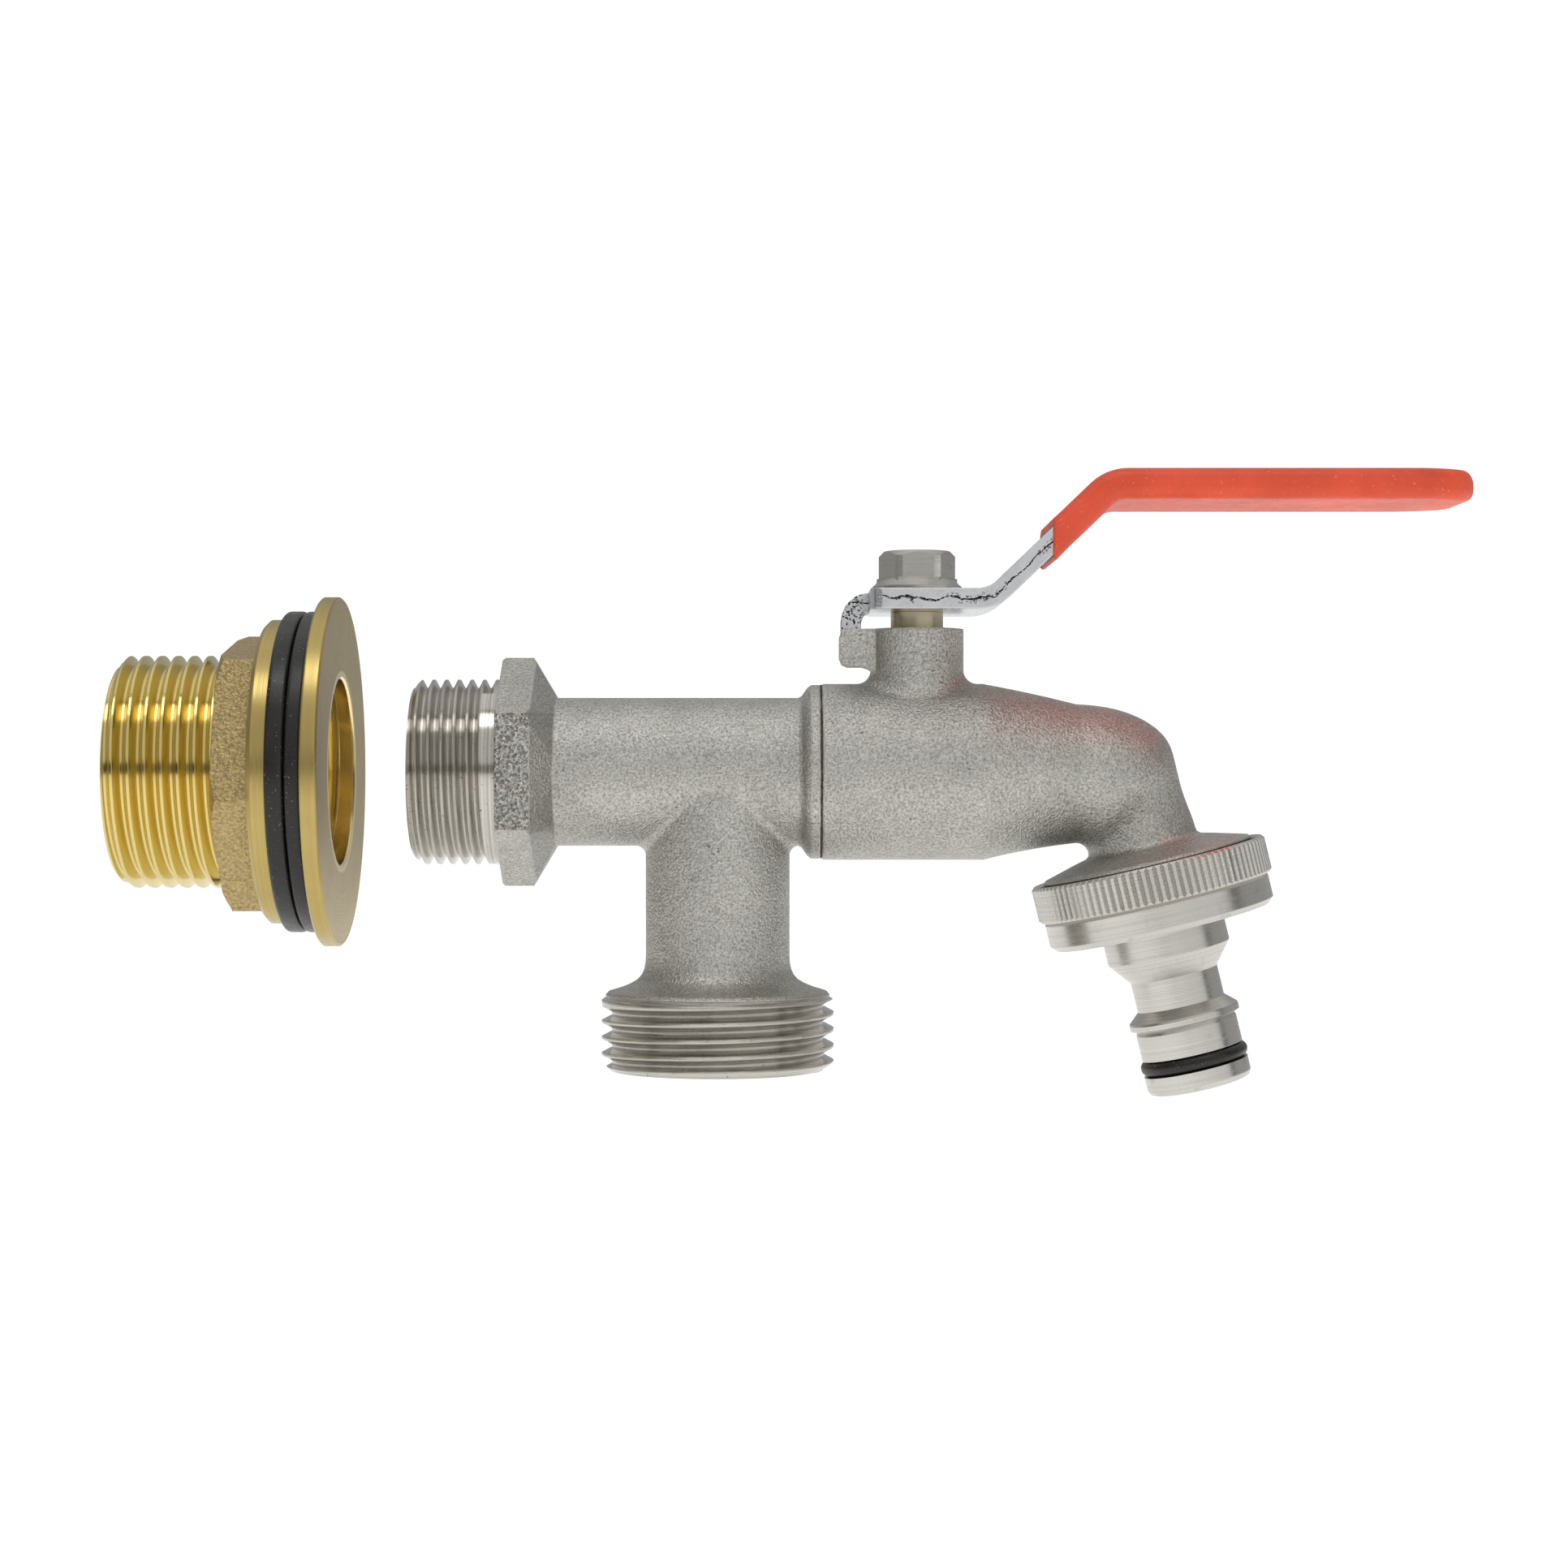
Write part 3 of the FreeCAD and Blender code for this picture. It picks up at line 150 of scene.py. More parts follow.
class LeverSettings(bpy.types.PropertyGroup):
    """Sizes and colours of the lever, its grip, its nut and its stem."""
    zinc: bpy.props.FloatVectorProperty(
        name="Zinc", description="Colour of the bright zinc on the steel lever",
        subtype="COLOR", size=4, min=0, max=1, default=linear("#D9DBDD"))
    scale: bpy.props.FloatVectorProperty(
        name="Shear scale", description="Colour of the torn band on the sheared edge",
        subtype="COLOR", size=4, min=0, max=1, default=linear("#22211F"))
    vinyl: bpy.props.FloatVectorProperty(
        name="Vinyl", description="Colour of the dipped grip",
        subtype="COLOR", size=4, min=0, max=1, default=linear("#E8522F"))
    vinyl_deep: bpy.props.FloatVectorProperty(
        name="Vinyl shade", description="Deeper colour where the dip is thicker",
        subtype="COLOR", size=4, min=0, max=1, default=linear("#D34626"))
    nickel: bpy.props.FloatVectorProperty(
        name="Nut", description="Colour of the nut's nickel",
        subtype="COLOR", size=4, min=0, max=1, default=linear("#B6B4AE"))
    stem: bpy.props.FloatVectorProperty(
        name="Stem", description="Colour of the nickel-washed brass stem",
        subtype="COLOR", size=4, min=0, max=1, default=linear("#B7AD93"))
    grip_wall: bpy.props.FloatProperty(
        name="Grip wall", description="Thickness of the dipped grip",
        unit="LENGTH", precision=5, min=0.0002, max=0.002, default=0.00075)
    grip_corner: bpy.props.FloatProperty(
        name="Grip corner", description="Rounding along the grip's edges",
        unit="LENGTH", precision=5, min=0.0002, max=0.0021, default=0.0017)
    bar: bpy.props.FloatProperty(
        name="Bar", description="Thickness of the steel bar",
        unit="LENGTH", precision=5, min=0.001, default=0.0029)
    bend_near: bpy.props.FloatProperty(
        name="Near bend", description="Distance from the stem to the bend where the bar starts to rise",
        unit="LENGTH", precision=5, default=0.0102)
    bend_far: bpy.props.FloatProperty(
        name="Far bend", description="Distance from the stem to the bend where the bar turns level",
        unit="LENGTH", precision=5, default=0.027)
    bend_radius: bpy.props.FloatProperty(
        name="Bend radius", description="Radius of the lever's bend at its middle line",
        unit="LENGTH", precision=5, min=0.002, default=0.00545)


class AdapterSettings(bpy.types.PropertyGroup):
    """Sizes and colours of the click-hose adapter."""
    nickel: bpy.props.FloatVectorProperty(
        name="Nickel", description="Colour of the turned adapter",
        subtype="COLOR", size=4, min=0, max=1, default=linear("#CCC9C3"))
    feed: bpy.props.FloatProperty(
        name="Turning feed", description="Distance between two turning lines",
        unit="LENGTH", precision=5, min=0.00005, default=0.00025)


class FittingSettings(bpy.types.PropertyGroup):
    """Sizes and colours of the brass tank fitting and its gaskets."""
    turned: bpy.props.FloatVectorProperty(
        name="Turned brass", description="Colour of the cut thread and the bores",
        subtype="COLOR", size=4, min=0, max=1, default=linear("#D8C581"))
    bored: bpy.props.FloatVectorProperty(
        name="Bored brass", description="Colour of the clean brass inside the bores",
        subtype="COLOR", size=4, min=0, max=1, default=linear("#F6E3A6"))
    cast: bpy.props.FloatVectorProperty(
        name="Cast brass", description="Colour of the sand-grained hexagon",
        subtype="COLOR", size=4, min=0, max=1, default=linear("#B6A171"))
    face: bpy.props.FloatVectorProperty(
        name="Faced brass", description="Colour of the dull faces and rims",
        subtype="COLOR", size=4, min=0, max=1, default=linear("#BBA667"))
    rubber: bpy.props.FloatVectorProperty(
        name="Rubber", description="Colour of the gaskets and O-rings",
        subtype="COLOR", size=4, min=0, max=1, default=linear("#12100D"))
    gasket_corner: bpy.props.FloatProperty(
        name="Gasket corner", description="Rounding of the gaskets' edges",
        unit="LENGTH", precision=5, min=0.0001, max=0.001, default=0.0006)


class StageSettings(bpy.types.PropertyGroup):
    """Camera, floor and light."""
    camera_place: bpy.props.FloatVectorProperty(
        name="Camera", description="Place of the camera", subtype="XYZ", unit="LENGTH",
        size=3, precision=5, default=(0.0528, -0.442, -0.00174))
    lens: bpy.props.FloatProperty(
        name="Lens", description="Focal length of the camera", unit="CAMERA", default=70.8)
    floor_height: bpy.props.FloatProperty(
        name="Floor", description="Height of the floor", unit="LENGTH", precision=4, default=-0.14)
    softbox: bpy.props.FloatProperty(
        name="Softboxes", description="Brightness of the front softboxes", min=0, default=0.8)
    backdrop: bpy.props.FloatProperty(
        name="Backdrop", description="Brightness behind the object, as the metal sees it",
        min=0, default=0.4)
    backdrop_top: bpy.props.FloatProperty(
        name="Backdrop top", description="How many times brighter the backdrop is overhead",
        min=0, default=2.2)
    bounce: bpy.props.FloatProperty(
        name="Bounce", description="Light that the floor sends up to the metal", min=0, default=0.5)
    white: bpy.props.FloatProperty(
        name="White", description="Brightness of the surroundings and the floor to the eye",
        min=0, default=1.05)
    floor_share: bpy.props.FloatProperty(
        name="Floor glow", description="Share of the white that the floor adds to the light it reflects",
        min=0, max=1, default=0.6)
    top_size: bpy.props.FloatVectorProperty(
        name="Top softbox", description="Width and depth of the softbox overhead",
        size=2, unit="LENGTH", default=(0.5, 0.3))
    top_place: bpy.props.FloatVectorProperty(
        name="Top place", description="Place of the softbox overhead", subtype="XYZ", unit="LENGTH",
        size=3, default=(0.0, -0.25, 0.55))
    top_lean: bpy.props.FloatProperty(
        name="Top lean", description="Lean of the softbox overhead towards the object",
        unit="ROTATION", default=math.radians(-25))
    top_power: bpy.props.FloatProperty(
        name="Top power", description="Power of the softbox overhead", min=0, default=1.2)


# ------------------------------------------------------------------ surfaces
def put_surface(name, grid, joined):
    """Make a closed mesh from a grid of points, rows by columns.

    Point (u, v) of the grid joins (u + 1, v) and (u, v + 1); columns close on
    themselves. Rows close too where joined, and else each end row is shut by a
    fan to its own centre. The faces are turned over if the volume that they
    enclose, a sum of p . (q x r) / 6 over the triangles, comes out negative.
    """
    rows, columns = grid.shape[:2]
    points = grid.reshape(-1, 3)
    index = np.arange(rows * columns).reshape(rows, columns)
    low = index if joined else index[:-1]
    high = np.roll(index, -1, axis=0) if joined else index[1:]
    quads = np.stack([low, np.roll(low, -1, axis=1), np.roll(high, -1, axis=1), high], axis=-1)
    quads = quads.reshape(-1, 4)
    triangles = np.empty((0, 3), int)
    if not joined:
        count = len(points)
        points = np.vstack([points, grid[0].mean(axis=0), grid[-1].mean(axis=0)])
        first, last = index[0], index[-1]
        triangles = np.vstack([
            np.stack([np.roll(first, -1), first, np.full(columns, count)], axis=-1),
            np.stack([last, np.roll(last, -1), np.full(columns, count + 1)], axis=-1)])
    fans = np.vstack([quads[:, [0, 1, 2]], quads[:, [0, 2, 3]], triangles])
    p, q, r = (points[fans[:, k]] for k in range(3))
    if np.einsum("ij,ij->i", p, np.cross(q, r)).sum() < 0:
        quads, triangles = quads[:, ::-1], triangles[:, ::-1]
    mesh = bpy.data.meshes.new(name)
    mesh.from_pydata(points.tolist(), [], quads.tolist() + triangles.tolist())
    mesh.shade_smooth()
    piece = bpy.data.objects.new(name, mesh)
    bpy.context.scene.collection.objects.link(piece)
    return piece


def ring_surface(name, profile, wave):
    """Carry a closed profile round the X axis.

    P(u, t) = (x(u), R cos t, R sin t) with R = r(u) + wave(t).
    """
    turn = np.linspace(0, 2 * math.pi, 240, endpoint=False)
    away = profile[:, 1, None] + wave(turn)[None, :]
    along = np.repeat(profile[:, 0, None], len(turn), axis=1)
    grid = np.stack([along, away * np.cos(turn), away * np.sin(turn)], axis=-1)
    return put_surface(name, grid, joined=True)


def rounded_loop(low, high, corner, steps):
    """Corners of a rectangle rounded by quarter circles, as rows of (along, away).

    Each point is a corner's centre plus corner times (cos t, sin t).
    """
    turn = np.linspace(0, math.pi / 2, steps)
    corners = [(high[0], high[1]), (low[0], high[1]), (low[0], low[1]), (high[0], low[1])]
    loop = []
    for k, (x, y) in enumerate(corners):
        centre_x = x - corner if x == high[0] else x + corner
        centre_y = y - corner if y == high[1] else y + corner
        angle = turn + k * math.pi / 2
        points = [centre_x + corner * np.cos(angle), centre_y + corner * np.sin(angle)]
        loop.append(np.stack(points, axis=-1))
    return np.vstack(loop)


def gasket_surface(name, node, corner, phase):
    """A flat ring with rounded edges and a rim that wanders by a few hundredths of a millimetre.

    wave(t) = -0.05 mm + 0.03 mm sin(3t + phase) + 0.02 mm sin(8t - 2 phase).
    """
    low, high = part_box(node)
    inner, outer = reach(node)
    profile = rounded_loop((low[0], inner + 0.05 * MM), (high[0], outer), corner, 7)
    return ring_surface(name, profile, lambda t: MM * (
        -0.05 + 0.03 * np.sin(3 * t + phase) + 0.02 * np.sin(8 * t - 2 * phase)))


def bead_surface(name, place, away, radius):
    """A dried bead of sealant that fills the groove of the body joint unevenly.

    P(u, t): a circle of radius b(t) = radius (1 + 0.4 sin 5t + 0.3 sin(13t + 1) + 0.2 sin(29t + 2)),
    or 0.35 radius where that is more, round the joint, its centre at (place, away - 0.4 radius).
    """
    turn = np.linspace(0, 2 * math.pi, 480, endpoint=False)
    around = np.linspace(0, 2 * math.pi, 10, endpoint=False)
    uneven = 0.4 * np.sin(5 * turn) + 0.3 * np.sin(13 * turn + 1) + 0.2 * np.sin(29 * turn + 2)
    thick = np.maximum(radius * (1 + uneven), 0.35 * radius)[None, :]
    along = place + thick * np.cos(around)[:, None]
    out = away - 0.4 * radius + thick * np.sin(around)[:, None]
    grid = np.stack([along, out * np.cos(turn), out * np.sin(turn)], axis=-1)
    return put_surface(name, grid, joined=True)


def lever_line(along, lever):
    """Middle line of the lever's outer part, by distance along it from the grip's mouth.

    Two straights, one at the rise angle a0 and one level, joined by an arc of radius R: on the arc
    x = R (sin a0 - sin a) and z = R (cos a - cos a0). Returns x, z, the heading a and a0.
    """
    low = NUT_BOX[0][2] - lever.bar / 2
    high = LEVER_BOX[1][2] - lever.bar / 2
    near, far = STEM_X + lever.bend_near, STEM_X + lever.bend_far
    rise = math.atan2(high - low, far - near)
    radius = lever.bend_radius
    back = radius * math.tan(rise / 2)
    mouth = SLEEVE_BOX[0][0]
    arc_x = far - back * math.cos(rise)
    arc_z = high - back * math.sin(rise)
    past = along - (arc_x - mouth) / math.cos(rise)
    before = np.minimum(past, 0)
    after = np.maximum(past - radius * rise, 0)
    heading = rise - np.clip(past, 0, radius * rise) / radius
    x = arc_x + before * math.cos(rise) + radius * (math.sin(rise) - np.sin(heading)) + after
    z = arc_z + before * math.sin(rise) + radius * (np.cos(heading) - math.cos(rise))
    return x, z, heading, rise


def grip_surface(name, lever):
    """The dipped grip: a rounded section carried along the lever's middle line, inside and out.

    At a distance s from the mouth the skin stands off the bar by o(s) = wall times a quarter
    ellipse over the lip, so the section is half as wide as w(s) = bar's half width + o and half
    as thick as h(s) = bar's half thickness + o. Over the tip w follows the bar's round corners,
    w = W - R + sqrt(R^2 - (s - L + R)^2), and h closes as a superellipse of power 2.4. A point
    is M(s) + y Y + n (N + k T): k leans the section so that the mouth is upright. The mouth's rim is
    ragged by 0.12 mm (sin 3t + 0.5 sin 7t) along X, which dies out within 2 mm.
    """
    wall = lever.grip_wall
    half_bar = lever.bar / 2
    half_width = (LEVER_BOX[1][1] - LEVER_BOX[0][1]) / 2
    tip_x = SLEEVE_BOX[1][0]
    tip_round = 9.0 * MM
    lean_out = 7.0 * MM
    lip = 0.5 * MM
    nose = 2.8 * MM
    play = 0.01 * MM
    sharp = 0.1 * MM
    ease = np.linspace(0, math.pi / 2, 14)
    probe = np.linspace(0, 80 * MM, 400)
    length = float(np.interp(tip_x, lever_line(probe, lever)[0], probe))

    body_rows = np.linspace(lip * 1.2, length - tip_round - wall, 90)[:-1]
    round_rows = length - tip_round - wall + (tip_round + wall - nose) * np.sin(ease)[:-1]
    nose_rows = length - nose * (1 - np.sin(np.linspace(0, math.pi / 2, 18)))
    lip_rows = lip * (1 - np.cos(np.linspace(0.12, math.pi / 2, 7)))
    outer = np.concatenate([lip_rows, body_rows, round_rows, nose_rows])
    outer[-1] -= 0.004 * MM
    end_in = length - wall
    inner = np.concatenate([
        np.linspace(0, end_in - tip_round, 40)[:-1],
        end_in - tip_round + tip_round * np.sin(np.linspace(0, math.pi / 2, 16))])
    inner[-1] -= 0.02 * MM

    def section(rows, end, off, corner, blunt):
        """Half width, half thickness and corner radius of the skin at each distance."""
        past = np.clip(rows - (end - tip_round - off.max()), 0, None)
        radius = tip_round + off.max()
        wide = half_width + off - radius + np.sqrt(np.maximum(radius ** 2 - past ** 2, 0))
        tall = half_bar + off
        if blunt:
            left = np.clip((end - rows) / nose, 0, 1)
            tall = tall * (1 - (1 - left) ** 2.4) ** (1 / 2.4)
        return wide, tall, np.minimum(corner, tall * 0.96)

    off_out = play + (wall - play) * np.sqrt(1 - (1 - np.clip(outer / lip, 0, 1)) ** 2)
    off_in = np.full(len(inner), play)
    corner_out = sharp + (lever.grip_corner - sharp) * off_out / wall
    corner_in = np.full(len(inner), sharp)
    wide_out, tall_out, corner_out = section(outer, length, off_out, corner_out, True)
    wide_in, tall_in, corner_in = section(inner, end_in, off_in, corner_in, False)
    rows = np.concatenate([inner[::-1], outer])
    wide = np.concatenate([wide_in[::-1], wide_out])[:, None]
    tall = np.concatenate([tall_in[::-1], tall_out])[:, None]
    corner = np.concatenate([corner_in[::-1], corner_out])[:, None]

    quarter = np.linspace(0, math.pi / 2, 8)
    flat = np.linspace(1, -1, 12)[1:-1]
    level = np.full(len(flat), math.pi / 2)
    bend, top = np.ones(len(quarter)), np.ones(len(flat))
    side_y = np.concatenate([bend, flat, -bend, -bend, -flat, bend])
    side_z = np.concatenate([bend, top, bend, -bend, -top, -bend])
    angle = np.concatenate([quarter, level, quarter + math.pi / 2, quarter + math.pi,
                            level + math.pi, quarter + 1.5 * math.pi])
    y = side_y * (wide - corner) + corner * np.cos(angle)
    n = side_z * (tall - corner) + corner * np.sin(angle)
    x, z, heading, rise = lever_line(rows, lever)
    lean = math.tan(rise) * np.clip(1 - rows / lean_out, 0, 1) ** 2
    lean = lean[:, None]
    ragged = 0.12 * MM * np.clip(1 - rows / (2 * MM), 0, 1)[:, None]
    slip = ragged * (np.sin(3 * angle + 0.6) + 0.5 * np.sin(7 * angle))
    heading = heading[:, None]
    px = x[:, None] + n * (lean * np.cos(heading) - np.sin(heading)) + np.maximum(slip, -0.05 * MM)
    pz = z[:, None] + n * (np.cos(heading) + lean * np.sin(heading))
    grid = np.stack([px, np.broadcast_to(y, px.shape), pz], axis=-1)
    return put_surface(name, grid, joined=False)


# ------------------------------------------------------------------ material parts
def add(tree, kind, inputs=None, **settings):
    """Add one shader node, apply its settings, and fill or link its inputs."""
    node = tree.nodes.new("ShaderNode" + kind)
    for name, value in settings.items():
        setattr(node, name, value)
    for key, value in (inputs or {}).items():
        if isinstance(value, bpy.types.Node):
            coloured = getattr(value, "data_type", "") == "RGBA"
            value = value.outputs[2 if coloured else 0]
        if isinstance(value, bpy.types.NodeSocket):
            tree.links.new(value, node.inputs[key])
        else:
            node.inputs[key].default_value = value
    return node


def begin(name, **constants):
    """Start a material: its node tree, its shader and the object's own coordinates."""
    material = bpy.data.materials.new(name)
    material.use_nodes = True
    tree = material.node_tree
    tree.nodes.clear()
    shader = add(tree, "BsdfPrincipled", {key.replace("_", " "): value for key, value in constants.items()})
    add(tree, "OutputMaterial", {"Surface": shader})
    where = add(tree, "TexCoord").outputs["Object"]
    return material, tree, shader, where


def surface(tree, shader, height, rounding, **patterns):
    """Link the patterns to the shader, with a height in millimetres over edges rounded in the light."""
    rounded = add(tree, "Bevel", {"Radius": rounding}, samples=4)
    relief = add(tree, "Bump", {"Strength": 1.0, "Distance": MM, "Height": height, "Normal": rounded})
    tree.links.new(relief.outputs[0], shader.inputs["Normal"])
    for name, pattern in patterns.items():
        socket = pattern.outputs[2 if getattr(pattern, "data_type", "") == "RGBA" else 0]
        tree.links.new(socket, shader.inputs[name.replace("_", " ")])


def edges(tree, width):
    """One along the sharp edges and none on the open faces.

    It rises as the rounded normal leaves the true one.
    """
    rounded = add(tree, "Bevel", {"Radius": width}, samples=4)
    true = add(tree, "NewGeometry").outputs["Normal"]
    same = add(tree, "VectorMath", {0: rounded, 1: true}, operation="DOT_PRODUCT").outputs["Value"]
    return add(tree, "MapRange", {0: same, 1: 0.99, 2: 0.88})


def specks(tree, where, size, share):
    """Scattered spots about size wide that cover about share of the surface."""
    lumps = add(tree, "TexNoise", {"Vector": where, "Scale": 1 / size, "Detail": 3.0, "Roughness": 0.6})
    edge = 0.5 + 0.16 * (1 - 2 * share) ** 0.8
    return add(tree, "MapRange", {0: lumps, 1: edge, 2: edge + 0.05}, interpolation_type="SMOOTHSTEP")


def band(tree, coordinate, low, high, soft):
    """One between low and high along a coordinate, fading out over soft."""
    rise = add(tree, "MapRange", {0: coordinate, 1: low - soft, 2: low}, interpolation_type="SMOOTHSTEP")
    fall = add(tree, "MapRange", {0: coordinate, 1: high + soft, 2: high}, interpolation_type="SMOOTHSTEP")
    return add(tree, "Math", {0: rise, 1: fall}, operation="MULTIPLY")


def turning(tree, where, feed, centre, tilt):
    """Rings left by a lathe tool, feed apart: noise of the height and the distance from an axis.

    The axis passes through centre and leans by tilt from Z towards X.
    """
    local = add(tree, "Mapping", {"Vector": where, "Location": centre, "Rotation": (0, tilt, 0)},
                vector_type="TEXTURE")
    height = add(tree, "SeparateXYZ", {0: local}).outputs[2]
    flat = add(tree, "VectorMath", {0: local, 1: (1, 1, 0)}, operation="MULTIPLY")
    away = add(tree, "VectorMath", {0: flat}, operation="LENGTH").outputs["Value"]
    ring = add(tree, "CombineXYZ", {0: away, 1: height})
    return add(tree, "TexNoise", {"Vector": ring, "Scale": 1 / feed, "Detail": 3.0, "Roughness": 0.6})


# ------------------------------------------------------------------ materials
def blasted_nickel(name, casting, zones, coarse, joint):
    """Brass casting, shot blasted and nickel plated: an even satin that breaks into fine grain.

    zones: coordinate index, low and high, tilt and centre of each cut thread; coarse: low and high X
    of the as-cast hexagon, or none; joint: X of the body joint.
    """
    material, tree, shader, where = begin(name, Metallic=1.0)
    axes = add(tree, "SeparateXYZ", {0: where}).outputs
    # shot leaves dimples a third of a millimetre wide, over the lumps of the sand mould
    grain = add(tree, "TexNoise", {"Vector": where, "Scale": 1 / casting.grain, "Detail": 2.0,
                                   "Roughness": 0.6})
    grain_tone_and_shade = add(tree, "MapRange", {0: grain, 1: 0.32, 2: 0.66})
    lumps = add(tree, "TexNoise", {"Vector": where, "Scale": 1 / (1.2 * MM), "Detail": 2.0})
    swell = add(tree, "TexNoise", {"Vector": where, "Scale": 1 / (7 * MM), "Detail": 2.0})
    # the dimples' hollows take the darker colour: partly the grain's own tone, partly painted shade
    skin = add(tree, "Mix", {0: grain_tone_and_shade, 6: casting.shade, 7: casting.plating}, data_type="RGBA")
    cloudy = add(tree, "MapRange", {0: swell, 1: 0.3, 2: 0.7, 3: 0.9, 4: 1.05})
    skin = add(tree, "Mix", {0: 1.0, 6: skin, 7: cloudy}, data_type="RGBA", blend_type="MULTIPLY")
    # pits where gas or sand broke the skin show as dark brown specks, in loose groups
    pits = specks(tree, where, 0.5 * MM, 0.03)
    groups = add(tree, "TexNoise", {"Vector": where, "Scale": 1 / (9 * MM)})
    groups = add(tree, "MapRange", {0: groups, 1: 0.55, 2: 0.68})
    near = add(tree, "VectorMath", {0: where, 1: casting.pits_at}, operation="DISTANCE").outputs["Value"]
    nest = add(tree, "MapRange", {0: near, 1: 1.3 * MM, 2: 0.7 * MM})
    nest = add(tree, "Math", {0: nest, 1: specks(tree, where, 0.7 * MM, 0.4)}, operation="MULTIPLY")
    pitted = add(tree, "Math", {0: pits, 1: groups}, operation="MULTIPLY")
    pitted = add(tree, "Math", {0: pitted, 1: nest}, operation="MAXIMUM")
    skin = add(tree, "Mix", {0: pitted, 6: skin, 7: casting.stain}, data_type="RGBA")
    # dried sealant creeps out of the body joint by a fraction of a millimetre
    seam = band(tree, axes[0], joint - 0.06 * MM, joint + 0.06 * MM, 0.3 * MM)
    creep = add(tree, "Math", {0: seam, 1: specks(tree, where, 0.8 * MM, 0.22)}, operation="MULTIPLY")
    skin = add(tree, "Mix", {0: creep, 6: skin, 7: casting.stain}, data_type="RGBA")
    # painted shade: a dark band stands in for the shadow between the outlet's collar and the adapter's ring
    drop = add(tree, "Mapping", {"Vector": where, "Location": OUTLET, "Rotation": (0, OUTLET_TILT, 0)},
               vector_type="TEXTURE")
    below = add(tree, "SeparateXYZ", {0: drop}).outputs[2]
    joint_shade_mask = band(tree, below, -3 * MM, 0.06 * MM, 0.12 * MM)
    around = add(tree, "VectorMath", {0: where, 1: OUTLET}, operation="DISTANCE").outputs["Value"]
    around = add(tree, "MapRange", {0: around, 1: 19 * MM, 2: 17 * MM})
    joint_shade_mask = add(tree, "Math", {0: joint_shade_mask, 1: around}, operation="MULTIPLY")
    skin = add(tree, "Mix", {0: joint_shade_mask, 6: skin, 7: casting.painted_joint_shade}, data_type="RGBA")
    # edges lightened toward the machined colour: partly rubbed plating, partly a painted highlight
    rubbed_edge_and_glint = edges(tree, 0.5 * MM)
    skin = add(tree, "Mix", {0: rubbed_edge_and_glint, 6: skin, 7: casting.machined}, data_type="RGBA")
    height = add(tree, "Math", {0: grain, 1: 0.2}, operation="MULTIPLY")
    height = add(tree, "Math", {0: lumps, 1: 0.08, 2: height}, operation="MULTIPLY_ADD")
    height = add(tree, "Math", {0: pitted, 1: -0.12, 2: height}, operation="MULTIPLY_ADD")
    height = add(tree, "Math", {0: swell, 1: 0.16, 2: height}, operation="MULTIPLY_ADD")
    rough = add(tree, "MapRange", {0: grain, 3: 0.5, 4: 0.36})
    if coarse:
        # the upright flats of the spanner hexagon keep the coarser sand texture, with painted shade in its
        # hollows
        rug = add(tree, "TexNoise", {"Vector": where, "Scale": 1 / (0.42 * MM), "Detail": 2.0,
                                     "Roughness": 0.65})
        hexagon = band(tree, axes[0], coarse[0], coarse[1], 0.25 * MM)
        outward = add(tree, "SeparateXYZ", {0: add(tree, "NewGeometry").outputs["True Normal"]}).outputs[1]
        outward = add(tree, "Math", {0: outward}, operation="ABSOLUTE")
        outward = add(tree, "MapRange", {0: outward, 1: 0.93, 2: 0.99})
        hexagon = add(tree, "Math", {0: hexagon, 1: outward}, operation="MULTIPLY")
        extra = add(tree, "Math", {0: rug, 1: hexagon}, operation="MULTIPLY")
        height = add(tree, "Math", {0: extra, 1: 0.32, 2: height}, operation="MULTIPLY_ADD")
        hollow_shade = add(tree, "MapRange", {0: rug, 1: 0.58, 2: 0.4, 3: 0.0, 4: 0.75})
        hollow_shade = add(tree, "Math", {0: hollow_shade, 1: hexagon}, operation="MULTIPLY")
        skin = add(tree, "Mix", {0: hollow_shade, 6: skin, 7: casting.hollow_shade}, data_type="RGBA")
        rough = add(tree, "Math", {0: hexagon, 1: -0.16, 2: rough}, operation="MULTIPLY_ADD")
    for axis, (low, high), tilt, centre in zones:
        # a threading tool leaves bright crests, fine lines and a few nicks
        cut = band(tree, axes[axis], low, high, 0.1 * MM)
        lines = turning(tree, where, 0.16 * MM, centre, tilt)
        nicks = specks(tree, where, 0.35 * MM, 0.02)
        metal = add(tree, "Mix", {0: nicks, 6: casting.machined, 7: casting.stain}, data_type="RGBA")
        tone = add(tree, "MapRange", {0: lines, 1: 0.35, 2: 0.65, 3: 0.6, 4: 1.0})
        metal = add(tree, "Mix", {0: 1.0, 6: metal, 7: tone}, data_type="RGBA", blend_type="MULTIPLY")
        skin = add(tree, "Mix", {0: cut, 6: skin, 7: metal}, data_type="RGBA")
        low_height = add(tree, "Math", {0: lines, 1: 0.012}, operation="MULTIPLY")
        height = add(tree, "Mix", {0: cut, 2: height, 3: low_height})
        glossy = add(tree, "MapRange", {0: lines, 3: 0.09, 4: 0.22})
        rough = add(tree, "Mix", {0: cut, 2: rough, 3: glossy})
    # the cast edges are well rounded, and the spout's bends run into each other more softly still
    soft = band(tree, axes[0], casting.bends[0], casting.bends[1], 1.5 * MM)
    rounding = add(tree, "MapRange", {0: soft, 3: 0.6 * MM, 4: 2.0 * MM})
    surface(tree, shader, height, rounding, Base_Color=skin, Roughness=rough)
    return material


